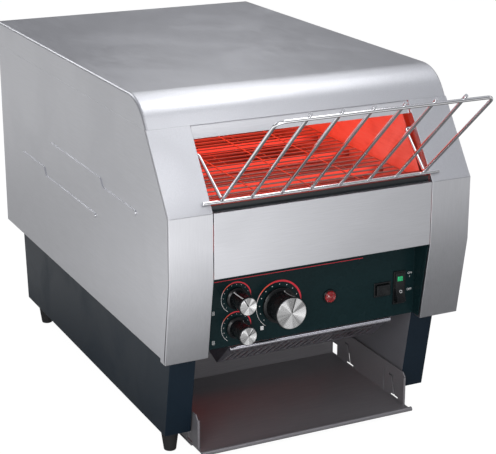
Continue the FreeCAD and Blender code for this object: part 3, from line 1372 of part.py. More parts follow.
gland_outline = [
    ("gland_bore_radius", "-gland_tail"),
    ("gland_neck_radius", "-gland_tail"),
    ("gland_neck_radius", "sheet_gauge"),
    ("gland_radius", "sheet_gauge"),
    ("gland_radius", "sheet_gauge + gland_rise - knob_bevel"),
    ("gland_radius - knob_bevel", "sheet_gauge + gland_rise"),
    ("gland_bore_radius", "sheet_gauge + gland_rise"),
]
keep("cord_gland", turned("cord_gland", gland_outline, "gland_column", "rear_inner_face", "gland_height"))

# Cooling fan behind the chute: frame with a hub plate on spokes, and a bladed rotor
fan_front = "rear_inner_face - fan_depth"
fan_blank = box("fan_blank", ("-fan_size / 2", "fan_size / 2"), (fan_front, "rear_inner_face"),
                ("fan_height - fan_size / 2", "fan_height + fan_size / 2"))
fan_bore = rod("fan_bore", "y", f"{fan_front} - cut_overrun", "rear_inner_face + cut_overrun",
               "fan_bore_radius", ("0", "fan_height"))
fan_ring = cut("fan_ring", fan_blank, fan_bore)
hub_plate = rod("fan_hub_plate", "y", fan_front, f"{fan_front} + fan_spoke_depth", "fan_hub_radius",
                ("0", "fan_height"))
spokes = [box("fan_spoke_across", ("-fan_size / 2", "fan_size / 2"),
              (fan_front, f"{fan_front} + fan_spoke_depth"),
              ("fan_height - fan_spoke_width / 2", "fan_height + fan_spoke_width / 2")),
          box("fan_spoke_up", ("-fan_spoke_width / 2", "fan_spoke_width / 2"),
              (fan_front, f"{fan_front} + fan_spoke_depth"),
              ("fan_height - fan_size / 2", "fan_height + fan_size / 2"))]
pin = rod("fan_pin", "y", fan_front, f"{fan_front} + fan_depth / 2", "fan_pin_radius",
          ("0", "fan_height"))
keep("fan_frame", fuse("fan_frame", fan_ring, hub_plate, *spokes, pin))


def fan_rotor_shape():
    """Hub with a pin bore and flat twisted blades that stay inside the bore of the frame."""
    centre = Vector(0, number(f"{fan_front} + fan_spoke_depth + fan_end_gap"), number("fan_height"))
    length = number("fan_depth - fan_spoke_depth - 2 * fan_end_gap")
    hub = Part.makeCylinder(number("fan_hub_radius"), length, centre, Vector(0, 1, 0))
    tip = number("fan_bore_radius - fan_tip_gap")
    gauge, start = number("fan_blade_gauge"), number("fan_hub_radius") / 2
    bladed = []
    for i in range(FAN_BLADE_COUNT):
        blade = Part.makeBox(gauge, length, tip, Vector(-gauge / 2, -length / 2, start))
        blade.rotate(Vector(0, 0, 0), Vector(0, 0, 1), number("fan_blade_twist"))
        blade.translate(Vector(0, centre.y + length / 2, centre.z))
        blade.rotate(centre, Vector(0, 1, 0), 360 * i / FAN_BLADE_COUNT)
        bladed.append(blade)
    envelope = Part.makeCylinder(tip, length, centre, Vector(0, 1, 0))
    bore = Part.makeCylinder(number("fan_pin_radius + shaft_fit"),
                             number("fan_depth / 2 - fan_spoke_depth + fan_end_gap"),
                             centre - Vector(0, number("fan_end_gap"), 0), Vector(0, 1, 0))
    return hub.fuse(bladed).common(envelope).cut(bore)


keep("fan_rotor", shaped("fan_rotor", fan_rotor_shape()))

# Control board on posts beside the left chamber wall, its parts as shares of its length and height
BOARD_PART_SHARES = (
    ("relay_block", (0.12, 0.34), (0.5, 0.86)),
    ("transformer_block", (0.5, 0.8), (0.16, 0.5)),
)
board = box("board_sheet", ("-wall_outer - board_standoff - board_gauge", "-wall_outer - board_standoff"),
            ("front + board_front", "front + board_front + board_length"),
            ("board_bottom", "board_bottom + board_height"))
board_things = [board]
for i, along in enumerate(("screw_head_radius", "board_length - screw_head_radius")):
    for j, up in enumerate(("screw_head_radius", "board_height - screw_head_radius")):
        board_things.append(rod(f"board_post_{i}_{j}", "x", "-wall_outer - board_standoff", "-wall_outer",
                                "board_post_radius", (f"front + board_front + {along}",
                                                      f"board_bottom + {up}")))
board_back = "-wall_outer - board_standoff - board_gauge"
for name, (low_share, high_share), (foot_share, head_share) in BOARD_PART_SHARES:
    board_things.append(box(name, (f"{board_back} - board_part_depth", board_back),
                            (f"front + board_front + board_length * {low_share}",
                             f"front + board_front + board_length * {high_share}"),
                            (f"board_bottom + board_height * {foot_share}",
                             f"board_bottom + board_height * {head_share}")))
keep("control_board", fuse("control_board", *board_things))

# Screws that hold the rear panel to the folds of the side panels
screws = []
for i, sign in enumerate(("-", "")):
    for j, height in enumerate(SCREW_HEIGHTS):
        place = (f"{sign}screw_column", height)
        screws.append(fuse(f"screw_{i}_{j}",
                           rod(f"screw_head_{i}_{j}", "y", "back", "back + screw_head_rise",
                               "screw_head_radius", place),
                           rod(f"screw_shank_{i}_{j}", "y", "back - screw_length", "back",
                               "screw_radius", place)))
keep("rear_screws", group("rear_screws", *screws))

doc.recompute()

# Check every object and write each sub-part
faults = [thing.Name for thing in doc.Objects
          if "Invalid" in thing.State or "Error" in thing.State]
if faults:
    raise RuntimeError("objects failed: " + ", ".join(faults))
os.makedirs("parts", exist_ok=True)
for name, thing in nodes.items():
    shape = thing.Shape
    if shape.isNull() or not shape.isValid() or not shape.Solids:
        raise RuntimeError("bad shape: " + name)
    shape.exportStep(os.path.join("parts", name + ".step"))
whole = Part.Compound([thing.Shape for thing in nodes.values()]).BoundBox
print(len(nodes), "sub-parts")
print("box", whole.XMin, whole.YMin, whole.ZMin, whole.XMax, whole.YMax, whole.ZMax)
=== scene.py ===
import math

import bmesh
import bpy
from mathutils import Matrix, Vector


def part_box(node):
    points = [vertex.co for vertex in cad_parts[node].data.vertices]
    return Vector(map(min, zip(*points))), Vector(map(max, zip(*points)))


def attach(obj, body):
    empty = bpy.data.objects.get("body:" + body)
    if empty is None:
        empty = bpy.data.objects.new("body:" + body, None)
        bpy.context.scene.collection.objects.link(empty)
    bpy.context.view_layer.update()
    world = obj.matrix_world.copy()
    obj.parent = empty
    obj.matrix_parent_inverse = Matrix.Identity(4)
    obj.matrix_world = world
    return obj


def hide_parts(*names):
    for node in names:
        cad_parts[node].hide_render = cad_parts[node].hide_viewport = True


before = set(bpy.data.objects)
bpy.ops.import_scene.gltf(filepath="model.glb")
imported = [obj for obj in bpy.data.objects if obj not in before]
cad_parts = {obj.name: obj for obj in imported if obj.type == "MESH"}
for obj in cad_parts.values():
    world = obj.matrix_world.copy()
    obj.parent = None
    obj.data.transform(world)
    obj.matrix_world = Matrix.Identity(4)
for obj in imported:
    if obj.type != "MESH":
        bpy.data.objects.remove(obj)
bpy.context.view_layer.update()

# ---------------------------------------------------------------- Camera
# A long lens from the front left and above, turned down and to the right. Its place is in metres, with the
# distance ahead measured from the face of the front panel. Its turns are in degrees.
SENSOR_WIDTH = 36
LENS = 107.5
CAMERA_X = -0.739516
CAMERA_AHEAD = 1.326659
CAMERA_HEIGHT = 0.758809
TURNED_DOWN = 18.0663
TURNED_RIGHT = 25.9528
front_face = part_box("front_panel")[0].y
camera_data = bpy.data.cameras.new("shop_camera")
camera_data.sensor_width = SENSOR_WIDTH
camera_data.lens = LENS
camera = bpy.data.objects.new("shop_camera", camera_data)
camera.location = (CAMERA_X, front_face - CAMERA_AHEAD, CAMERA_HEIGHT)
camera.rotation_euler = (math.radians(90 - TURNED_DOWN), 0, math.radians(-TURNED_RIGHT))
bpy.context.collection.objects.link(camera)
bpy.context.scene.camera = camera
bpy.context.scene.view_settings.view_transform = "Standard"

# ---------------------------------------------------------------- Counter, backdrop and studio lamps
# A plain white counter that keeps a faint shadow, a white studio all round, and large soft boxes. The steel
# mirrors painted reflections: bright and dark soft patches on the counter, each with its centre, its near and
# far edge, and its strength there.
FLOOR_SHADOW_SHARE = 0.10
FLOOR_SIZE = 9.0
FLOOR_SEEN = 1.08
PAINTED_REFLECTION_PATCHES = (((0.25, -0.15), (0.40, 0.85), (0.14, 0.74)), ((-0.05, 0.75), (0.35, 0.80), (-0.30, 0)),
                 ((-0.25, -1.20), (0.30, 0.92), (1.85, 0)), ((-1.05, 0.10), (0.35, 0.85), (0.75, 0)))
HORIZON = (0.19, 0.19, 0.20)
HORIZON_ENDS = 0.25
ZENITH = (0.56, 0.57, 0.60)
ZENITH_STARTS = 0.8
AMBIENT = (0.42, 0.43, 0.45)
WHITE = (1.0, 1.0, 1.0)


def node_material(name):
    """A new material with its node tree, its links and its Principled shader."""
    material = bpy.data.materials.new(name)
    material.use_nodes = True
    tree = material.node_tree
    shader = next(node for node in tree.nodes if node.type == "BSDF_PRINCIPLED")
    return material, tree, shader


def largest(tree, *values):
    """The largest of some sockets."""
    found = values[0]
    for value in values[1:]:
        choice = tree.nodes.new("ShaderNodeMath")
        choice.operation = "MAXIMUM"
        tree.links.new(found, choice.inputs[0])
        tree.links.new(value, choice.inputs[1])
        found = choice.outputs[0]
    return found


def faded(tree, value, start, end, first, last):
    """A value that runs smoothly from first to last as the given one runs from start to end."""
    ramp = tree.nodes.new("ShaderNodeMapRange")
    ramp.interpolation_type = "SMOOTHSTEP"
    for name, number in (("From Min", start), ("From Max", end), ("To Min", first), ("To Max", last)):
        ramp.inputs[name].default_value = number
    tree.links.new(value, ramp.inputs["Value"])
    return ramp.outputs["Result"]


def blended(tree, factor, first, second):
    """A colour between two others."""
    mix = tree.nodes.new("ShaderNodeMix")
    mix.data_type = "RGBA"
    for name, colour in (("A", first), ("B", second)):
        if isinstance(colour, tuple):
            mix.inputs[name].default_value = (*colour, 1)
        else:
            tree.links.new(colour, mix.inputs[name])
    tree.links.new(factor, mix.inputs["Factor"])
    return mix.outputs["Result"]


floor_bm = bmesh.new()
bmesh.ops.create_grid(floor_bm, x_segments=2, y_segments=2, size=FLOOR_SIZE)
floor_mesh = bpy.data.meshes.new("counter")
floor_bm.to_mesh(floor_mesh)
floor_bm.free()
floor = bpy.data.objects.new("counter", floor_mesh)
bpy.context.collection.objects.link(floor)
floor_paint, tree, shader = node_material("counter_white")
shader.inputs["Base Color"].default_value = (0.86, 0.86, 0.86, 1)
shader.inputs["Roughness"].default_value = 0.9
path = tree.nodes.new("ShaderNodeLightPath")
place = tree.nodes.new("ShaderNodeTexCoord")
mirrored = None
# Painted reflections: bright and dark patches on the counter that only glossy rays see.
for (x, y), (near, far), (inside, outside) in PAINTED_REFLECTION_PATCHES:
    reach = tree.nodes.new("ShaderNodeVectorMath")
    reach.operation = "DISTANCE"
    reach.inputs[1].default_value = (x, y, 0)
    tree.links.new(place.outputs["Object"], reach.inputs[0])
    patch = faded(tree, reach.outputs["Value"], near, far, inside, outside)
    if mirrored is not None:
        total = tree.nodes.new("ShaderNodeMath")
        tree.links.new(mirrored, total.inputs[0])
        tree.links.new(patch, total.inputs[1])
        patch = total.outputs[0]
    mirrored = patch
tone = tree.nodes.new("ShaderNodeMix")
tree.links.new(path.outputs["Is Glossy Ray"], tone.inputs["Factor"])
tone.inputs[2].default_value = FLOOR_SEEN
tree.links.new(mirrored, tone.inputs[3])
glow = tree.nodes.new("ShaderNodeEmission")
glow.inputs["Color"].default_value = (1, 1, 1, 1)
tree.links.new(tone.outputs[0], glow.inputs["Strength"])
share = tree.nodes.new("ShaderNodeMath")
share.operation = "MULTIPLY"
share.inputs[1].default_value = 1 - FLOOR_SHADOW_SHARE
tree.links.new(largest(tree, path.outputs["Is Camera Ray"], path.outputs["Is Glossy Ray"],
                       path.outputs["Is Transmission Ray"]), share.inputs[0])
blend = tree.nodes.new("ShaderNodeMixShader")
tree.links.new(share.outputs[0], blend.inputs[0])
tree.links.new(shader.outputs[0], blend.inputs[1])
tree.links.new(glow.outputs[0], blend.inputs[2])
surface = next(node for node in tree.nodes if node.type == "OUTPUT_MATERIAL")
tree.links.new(blend.outputs[0], surface.inputs["Surface"])
floor_mesh.materials.append(floor_paint)

studio = bpy.data.worlds.new("studio")
bpy.context.scene.world = studio
studio.use_nodes = True
tree = studio.node_tree
background = next(node for node in tree.nodes if node.type == "BACKGROUND")
path = tree.nodes.new("ShaderNodeLightPath")
direction = tree.nodes.new("ShaderNodeTexCoord")
axes = tree.nodes.new("ShaderNodeSeparateXYZ")
tree.links.new(direction.outputs["Generated"], axes.inputs[0])
mirrored = blended(tree, faded(tree, axes.outputs["Z"], HORIZON_ENDS, ZENITH_STARTS, 0, 1), HORIZON, ZENITH)
seen = blended(tree, largest(tree, path.outputs["Is Camera Ray"], path.outputs["Is Transmission Ray"]),
               AMBIENT, WHITE)
tree.links.new(blended(tree, path.outputs["Is Glossy Ray"], seen, mirrored), background.inputs["Color"])

AIM = Vector((0, 0, 0.25))
for name, place, width, depth, watts in (
        ("key_box", (-1.5, -1.6, 1.1), 1.0, 1.0, 13),
        ("tray_box", (-0.55, -1.7, 0.32), 0.5, 0.3, 6),
        ("slant_box", (0.22, -1.05, 1.30), 0.7, 0.5, 1.7),
        ("nose_box", (0.50, -0.05, 1.75), 0.9, 0.5, 4.3),
        ("crest_box", (0.45, 0.65, 1.40), 0.5, 0.5, 1.2),
        ("cover_box", (0.24, 0.66, 0.86), 0.3, 0.2, 0.22),
        ("right_box", (1.7, -0.6, 0.9), 0.8, 0.8, 2.0),
        ("rear_box", (-0.9, 1.9, 1.5), 1.0, 1.0, 9)):
    box_data = bpy.data.lights.new(name, "AREA")
    box_data.shape = "RECTANGLE"
    box_data.size = width
    box_data.size_y = depth
    box_data.energy = watts
    lamp = bpy.data.objects.new(name, box_data)
    lamp.location = place
    lamp.rotation_euler = (AIM - Vector(place)).to_track_quat("-Z", "Y").to_euler()
    lamp.visible_camera = False
    bpy.context.collection.objects.link(lamp)

# ---------------------------------------------------------------- Housing side sheets
# Folded stainless sheets with two pressed beads each, which step down half way. They are brushed
# lengthwise, which shows as a very fine grain under a few hand marks.
STEEL = (0.590, 0.595, 0.625)
STEEL_ROUGHNESS = 0.36
SHEET_EDGE = 0.00035
MERGE_DISTANCE = 1e-6
FLAT_WITHIN = 0.4
SHARPER_THAN = 28


def socket(tree, name, kind, way, value=None):
    """A named socket on a node group."""
    made = tree.interface.new_socket(name=name, in_out=way, socket_type="NodeSocket" + kind)
    if value is not None:
        made.default_value = value
    return made


def make_grain_group():
    """Fine streaks along a sheet: a tone that varies from streak to streak, and their relief."""
    tree = bpy.data.node_groups.new("sheet grain", "ShaderNodeTree")
    socket(tree, "Vector", "Vector", "INPUT")
    socket(tree, "Fineness", "Float", "INPUT", 900.0)
    socket(tree, "Relief", "Float", "INPUT", 0.1)
    socket(tree, "Tone", "Float", "OUTPUT")
    socket(tree, "Normal", "Vector", "OUTPUT")
    given = tree.nodes.new("NodeGroupInput")
    result = tree.nodes.new("NodeGroupOutput")
    streaks = tree.nodes.new("ShaderNodeTexNoise")
    streaks.inputs["Detail"].default_value = 3
    streaks.inputs["Roughness"].default_value = 0.65
    tree.links.new(given.outputs["Vector"], streaks.inputs["Vector"])
    tree.links.new(given.outputs["Fineness"], streaks.inputs["Scale"])
    spread = tree.nodes.new("ShaderNodeMapRange")
    spread.inputs["From Min"].default_value = 0.3
    spread.inputs["From Max"].default_value = 0.7
    tree.links.new(streaks.outputs["Fac"], spread.inputs["Value"])
    relief = tree.nodes.new("ShaderNodeBump")
    relief.inputs["Distance"].default_value = 0.0002
    tree.links.new(given.outputs["Relief"], relief.inputs["Strength"])
    tree.links.new(spread.outputs["Result"], relief.inputs["Height"])
    tree.links.new(spread.outputs["Result"], result.inputs["Tone"])
    tree.links.new(relief.outputs["Normal"], result.inputs["Normal"])
    return tree


def make_marks_group():
    """Hand marks and wiped dust: broad soft patches broken up by finer ones, from 0 to 1."""
    tree = bpy.data.node_groups.new("hand marks", "ShaderNodeTree")
    socket(tree, "Vector", "Vector", "INPUT")
    socket(tree, "Patch scale", "Float", "INPUT", 9.0)
    socket(tree, "Mask", "Float", "OUTPUT")
    given = tree.nodes.new("NodeGroupInput")
    result = tree.nodes.new("NodeGroupOutput")
    patches = tree.nodes.new("ShaderNodeTexNoise")
    patches.inputs["Detail"].default_value = 4
    patches.inputs["Distortion"].default_value = 0.6
    tree.links.new(given.outputs["Vector"], patches.inputs["Vector"])
    tree.links.new(given.outputs["Patch scale"], patches.inputs["Scale"])
    tree.links.new(faded(tree, patches.outputs["Fac"], 0.42, 0.72, 0, 1), result.inputs["Mask"])
    return tree


GRAIN = make_grain_group()
MARKS = make_marks_group()


def mapped(tree, scale=(1, 1, 1), place=(0, 0, 0)):
    """Object coordinates of the piece, stretched or centred by a Mapping node."""
    coordinates = tree.nodes.new("ShaderNodeTexCoord")
    mapping = tree.nodes.new("ShaderNodeMapping")
    mapping.inputs["Scale"].default_value = scale
    mapping.inputs["Location"].default_value = place
    tree.links.new(coordinates.outputs["Object"], mapping.inputs["Vector"])
    return mapping.outputs["Vector"]


def between(tree, factor, low, high):
    """A value that runs from low to high as the factor runs from 0 to 1."""
    ramp = tree.nodes.new("ShaderNodeMapRange")
    ramp.inputs["To Min"].default_value = low
    ramp.inputs["To Max"].default_value = high
    tree.links.new(factor, ramp.inputs["Value"])
    return ramp.outputs["Result"]


def tinted(colour, share):
    """A colour made darker or lighter by a share of itself, and never more than full."""
    return tuple(min(1.0, part * share) for part in colour)


def add_group(tree, group, vector, **values):
    """One of the two node groups in a material, with its vector and its other inputs by name."""
    node = tree.nodes.new("ShaderNodeGroup")
    node.node_tree = group
    tree.links.new(vector, node.inputs["Vector"])
    for name, value in values.items():
        node.inputs[name.replace("_", " ")].default_value = value
    return node


def brushed_metal(name, colour, roughness, stretch, fineness=900.0, relief=0.05, variation=0.05, patch=9.0,
                  metal=1.0):
    """Metal, or a dull coat on metal, with streaks along the axis that stretch shortens, and hand marks."""
    material, tree, shader = node_material(name)
    shader.inputs["Metallic"].default_value = metal
    grain = add_group(tree, GRAIN, mapped(tree, scale=stretch), Fineness=fineness, Relief=relief)
    marks = add_group(tree, MARKS, mapped(tree), Patch_scale=patch)
    toned = blended(tree, grain.outputs["Tone"], tinted(colour, 1 - variation), tinted(colour, 1 + variation))
    tree.links.new(blended(tree, between(tree, marks.outputs["Mask"], 0, 0.35), toned,
                           tinted(colour, 0.93)), shader.inputs["Base Color"])
    dull = tree.nodes.new("ShaderNodeMath")
    dull.operation = "ADD"
    tree.links.new(between(tree, grain.outputs["Tone"], roughness - 0.04, roughness + 0.04), dull.inputs[0])
    tree.links.new(between(tree, marks.outputs["Mask"], 0, 0.05), dull.inputs[1])
    tree.links.new(dull.outputs[0], shader.inputs["Roughness"])
    tree.links.new(grain.outputs["Normal"], shader.inputs["Normal"])
    return material


def merged_copy(node):
    """A copy of a node's mesh with its loose triangles joined and its flat faces made whole."""
    bm = bmesh.new()
    bm.from_mesh(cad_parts[node].data)
    bmesh.ops.remove_doubles(bm, verts=bm.verts, dist=MERGE_DISTANCE)
    bmesh.ops.dissolve_limit(bm, angle_limit=math.radians(FLAT_WITHIN), verts=bm.verts, edges=bm.edges,
                             use_dissolve_boundaries=False, delimit={"NORMAL"})
    return bm


def break_edges(bm, width, segments=2):
    """Take the sharpness off the edges where two faces meet at more than SHARPER_THAN degrees."""
    sharp = [edge for edge in bm.edges
             if edge.is_manifold and edge.calc_face_angle(0) > math.radians(SHARPER_THAN)]
    bmesh.ops.bevel(bm, geom=sharp, offset=width, offset_type="OFFSET", segments=segments, profile=0.5,
                    affect="EDGES", clamp_overlap=True, material=-1)


def finished(name, bm, materials, body, replaced=(), smooth=40):
    """Make the mesh a piece that rides on its body and stands for the nodes it replaces."""
    mesh = bpy.data.meshes.new(name)
    bm.to_mesh(mesh)
    bm.free()
    for material in materials if isinstance(materials, (list, tuple)) else [materials]:
        mesh.materials.append(material)
    mesh.shade_smooth()
    mesh.set_sharp_from_angle(angle=math.radians(smooth))
    piece = bpy.data.objects.new(name, mesh)
    bpy.context.collection.objects.link(piece)
    level = piece.modifiers.new("flat faces stay flat", "WEIGHTED_NORMAL")
    level.keep_sharp = True
    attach(piece, body)
    if replaced:
        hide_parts(*replaced)


def dressed(name, node, materials, body, edge, segments=2, smooth=40):
    """The node's own shape with its edges broken."""
    bm = merged_copy(node)
    break_edges(bm, edge, segments)
    finished(name, bm, materials, body, [node], smooth)


def painted_node(node, material):
    """A node whose shape is right gets a better material and is otherwise left as it is."""
    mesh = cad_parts[node].data
    mesh.materials.clear()
    mesh.materials.append(material)


side_steel = brushed_metal("side sheet steel", STEEL, STEEL_ROUGHNESS, (1, 0.04, 1))
for side in ("left", "right"):
    dressed(f"housing_side_{side}", f"side_panel_{side}", side_steel, "toaster", SHEET_EDGE)

# ---------------------------------------------------------------- Corner posts
# Folded stainless channels that follow the kinked front. They stand 1 mm clear of the side sheets, so the
# seam reads dark beside a bright folded edge.
post_steel = brushed_metal("post steel", STEEL, STEEL_ROUGHNESS, (1, 1, 0.04))
for side in ("left", "right"):
    dressed(f"front_post_{side}", f"corner_post_{side}", post_steel, "toaster", 0.0005)

# ---------------------------------------------------------------- Top cover
# One stainless sheet rolled over the front nose, with folded sides, brushed from front to back. It closes
# the housing from the feed opening to the rear panel.
cover_steel = brushed_metal("cover steel", STEEL, STEEL_ROUGHNESS, (1, 0.04, 1))
dressed("rolled_cover", "top_cover", cover_steel, "toaster", 0.0003, smooth=50)

# ---------------------------------------------------------------- Front panel
# A plain stainless panel between the posts, folded back under the feed opening and over the controls. It is
# brushed from side to side.
front_steel = brushed_metal("front panel steel", STEEL, STEEL_ROUGHNESS, (0.04, 1, 1))
dressed("front_face_sheet", "front_panel", front_steel, "toaster", SHEET_EDGE)

# ---------------------------------------------------------------- Feed opening trims
# A black enamelled sill in front of the belt, and a pale strip hung under the nose of the cover. Both are
# narrow folded sheets.


def coated_sheet(name, colour, roughness, texture=350.0, relief=0.06, shine=0.5, wear=None):
    """Paint or enamel with a fine pebble, uneven gloss and, where wear is given, rubbed edges."""
    material, tree, shader = node_material(name)
    shader.inputs["Specular IOR Level"].default_value = shine
    pebble = add_group(tree, GRAIN, mapped(tree), Fineness=texture, Relief=relief)
    marks = add_group(tree, MARKS, mapped(tree), Patch_scale=11.0)
    toned = blended(tree, pebble.outputs["Tone"], tinted(colour, 0.85), tinted(colour, 1.18))
    toned = blended(tree, between(tree, marks.outputs["Mask"], 0, 0.3), toned, tinted(colour, 1.35))
    if wear:
        geometry = tree.nodes.new("ShaderNodeNewGeometry")
        rubbed = tree.nodes.new("ShaderNodeMapRange")
        rubbed.inputs["From Min"].default_value = 0.55
        rubbed.inputs["From Max"].default_value = 0.75
        rubbed.inputs["To Max"].default_value = 0.5
        tree.links.new(geometry.outputs["Pointiness"], rubbed.inputs["Value"])
        toned = blended(tree, rubbed.outputs["Result"], toned, wear)
    tree.links.new(toned, shader.inputs["Base Color"])
    tree.links.new(between(tree, marks.outputs["Mask"], roughness - 0.04, roughness + 0.07),
                   shader.inputs["Roughness"])
    tree.links.new(pebble.outputs["Normal"], shader.inputs["Normal"])
    return material


enamel = coated_sheet("black enamel", (0.010, 0.013, 0.015), 0.20, texture=500.0, relief=0.03, shine=0.35)
dressed("belt_sill", "feed_sill", enamel, "toaster", 0.0004)
strip_metal = brushed_metal("pale strip metal", (0.76, 0.76, 0.79), 0.42, (0.04, 1, 1))
dressed("opening_header", "header_strip", strip_metal, "toaster", 0.0004)

# ---------------------------------------------------------------- Feed rack
# Bright plated steel wires: an outer wire bent round the bottom rod, and six straight wires welded under
# its top bar and on the rod. It lifts off up the slanted front.
CHROME = (0.78, 0.78, 0.80)
chrome, tree, shader = node_material("plated wire")
shader.inputs["Metallic"].default_value = 1
plating = add_group(tree, MARKS, mapped(tree), Patch_scale=25.0)
tree.links.new(blended(tree, plating.outputs["Mask"], CHROME, tinted(CHROME, 0.93)),
               shader.inputs["Base Color"])
tree.links.new(between(tree, plating.outputs["Mask"], 0.09, 0.13), shader.inputs["Roughness"])
for name, node in (("rack_outer_wire", "rack_frame"), ("rack_bottom_rod", "rack_rod"),
                   ("rack_inner_wires", "rack_wires")):
    dressed(name, node, chrome, "feed_rack", 0.0006, segments=3)

# ---------------------------------------------------------------- Toasting chamber
# Aluminised walls, a reflector with a back curtain, a blanket above it and a shield over the controls.
# A painted red glow in the sheets stands for the elements' light, strongest on the reflector between the
# rods.
PAINTED_GLOW_RED = (1.0, 0.050, 0.022)
BLACK = (0, 0, 0)


def object_axes(tree):
    """The three object coordinates of the piece, each on its own."""
    axes = tree.nodes.new("ShaderNodeSeparateXYZ")
    tree.links.new(mapped(tree), axes.inputs[0])
    return axes.outputs


def painted_glow_sheet(name, colour, glow_strength, low, high):
    """Dull aluminised sheet with a painted red glow for the elements' light, growing from height low to
    height high.
    """
    material, tree, shader = node_material(name)
    shader.inputs["Metallic"].default_value = 0.6
    grain = add_group(tree, GRAIN, mapped(tree, scale=(1, 0.1, 1)), Fineness=400.0, Relief=0.08)
    marks = add_group(tree, MARKS, mapped(tree), Patch_scale=16.0)
    toned = blended(tree, grain.outputs["Tone"], tinted(colour, 0.85), tinted(colour, 1.15))
    tree.links.new(blended(tree, between(tree, marks.outputs["Mask"], 0, 0.5), toned, (0.10, 0.07, 0.05)),
                   shader.inputs["Base Color"])
    tree.links.new(between(tree, marks.outputs["Mask"], 0.38, 0.55), shader.inputs["Roughness"])
    tree.links.new(grain.outputs["Normal"], shader.inputs["Normal"])
    # Painted glow: red emission in the sheet that stands for the elements' light, rising with height.
    rise = faded(tree, object_axes(tree)["Z"], low, high, 0, 1)
    tree.links.new(blended(tree, rise, BLACK, tinted(PAINTED_GLOW_RED, glow_strength)), shader.inputs["Emission Color"])
    shader.inputs["Emission Strength"].default_value = 1
    return material


chamber_sheet = painted_glow_sheet("chamber wall sheet", (0.45, 0.42, 0.40), 0.55, 0.25, 0.31)
reflector_sheet = painted_glow_sheet("reflector sheet", (0.50, 0.46, 0.43), 0.75, 0.26, 0.33)
cool_sheet = painted_glow_sheet("shield sheet", (0.42, 0.42, 0.42), 0.0, 0.0, 1.0)
for node, material in (("chamber_wall_left", chamber_sheet), ("chamber_wall_right", chamber_sheet),
                       ("upper_reflector", reflector_sheet), ("heat_shield", cool_sheet),
                       ("floor_pan", cool_sheet)):
    painted_node(node, material)

wool = coated_sheet("mineral wool", (0.72, 0.69, 0.60), 0.9, texture=260.0, relief=0.6)
painted_node("insulation_top", wool)

# ---------------------------------------------------------------- Heating elements
# Straight sheathed rods through both walls: glowing in the chamber, dark where they leave it. A red lamp
# in the chamber gives the light that they throw on the sheets around them.
HOT_UP_TO = 0.105
COLD_FROM = 0.136
sheath, tree, shader = node_material("hot sheath")
shader.inputs["Roughness"].default_value = 0.7
scale_spots = add_group(tree, MARKS, mapped(tree), Patch_scale=90.0)
tree.links.new(blended(tree, scale_spots.outputs["Mask"], (0.30, 0.09, 0.05), (0.12, 0.06, 0.05)),
               shader.inputs["Base Color"])
off_centre = tree.nodes.new("ShaderNodeMath")
off_centre.operation = "ABSOLUTE"
tree.links.new(object_axes(tree)["X"], off_centre.inputs[0])
hot = faded(tree, off_centre.outputs[0], COLD_FROM, HOT_UP_TO, 0, 1)
tree.links.new(blended(tree, hot, (0.02, 0.0, 0.0), (0.86, 0.060, 0.040)), shader.inputs["Emission Color"])
shader.inputs["Emission Strength"].default_value = 1
painted_node("upper_elements", sheath)
painted_node("lower_elements", sheath)
heat_data = bpy.data.lights.new("chamber_heat", "AREA")
heat_data.shape = "RECTANGLE"
heat_data.size = 0.25
heat_data.size_y = 0.33
heat_data.color = (1.0, 0.07, 0.03)
heat_data.energy = 0.32
heat = bpy.data.objects.new("chamber_heat", heat_data)
heat.location = (0, 0.085, 0.370)
bpy.context.collection.objects.link(heat)

# ---------------------------------------------------------------- Wire belt
# Stainless cross wires joined by five rows of small links, run round the wheels at both ends. Each wire and
# each link is a thin round bar set along the belt's closed path.
belt_low, belt_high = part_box("wire_belt")
BELT_WIRE = 0.00095
BELT_LINK_ROWS = 5
BELT_WIRES = 70
belt_half = belt_high.x - BELT_WIRE
belt_turn = (belt_high.z - belt_low.z) / 2 - BELT_WIRE
belt_axis = (belt_high.z + belt_low.z) / 2
belt_ends = (belt_low.y + belt_turn + BELT_WIRE, belt_high.y - belt_turn - BELT_WIRE)
belt_straight = belt_ends[1] - belt_ends[0]
belt_length = 2 * belt_straight + 2 * math.pi * belt_turn


def belt_point(along):
    """The point on the belt's closed path this far from the start of its top run."""
    along = along % belt_length
    half_turn = math.pi * belt_turn
    if along < belt_straight:
        return belt_ends[0] + along, belt_axis + belt_turn
    along -= belt_straight
    if along < half_turn:
        angle = along / belt_turn
        return belt_ends[1] + belt_turn * math.sin(angle), belt_axis + belt_turn * math.cos(angle)
    along -= half_turn
    if along < belt_straight:
        return belt_ends[1] - along, belt_axis - belt_turn
    angle = (along - belt_straight) / belt_turn
    return belt_ends[0] - belt_turn * math.sin(angle), belt_axis - belt_turn * math.cos(angle)


def add_bar(bm, start, end, radius, sides=8):
    """A round bar between two points."""
    way = end - start
    turn = way.to_track_quat("Z", "Y").to_matrix().to_4x4()
    bmesh.ops.create_cone(bm, cap_ends=True, cap_tris=False, segments=sides, radius1=radius, radius2=radius,
                          depth=way.length, matrix=Matrix.Translation((start + end) / 2) @ turn)


belt_bm = bmesh.new()
step = belt_length / BELT_WIRES
for i in range(BELT_WIRES):
    y, z = belt_point(step * i)
    next_y, next_z = belt_point(step * (i + 1))
    add_bar(belt_bm, Vector((-belt_half, y, z)), Vector((belt_half, y, z)), BELT_WIRE)
    for row in range(BELT_LINK_ROWS):
        across = -belt_half + BELT_WIRE + (2 * belt_half - 2 * BELT_WIRE) * row / (BELT_LINK_ROWS - 1)
        add_bar(belt_bm, Vector((across, y, z)), Vector((across, next_y, next_z)), BELT_WIRE, sides=6)
belt_steel = brushed_metal("belt wire steel", (0.50, 0.46, 0.43), 0.38, (0.2, 1, 1), fineness=500.0)
finished("link_belt", belt_bm, belt_steel, "toaster", ["wire_belt"])

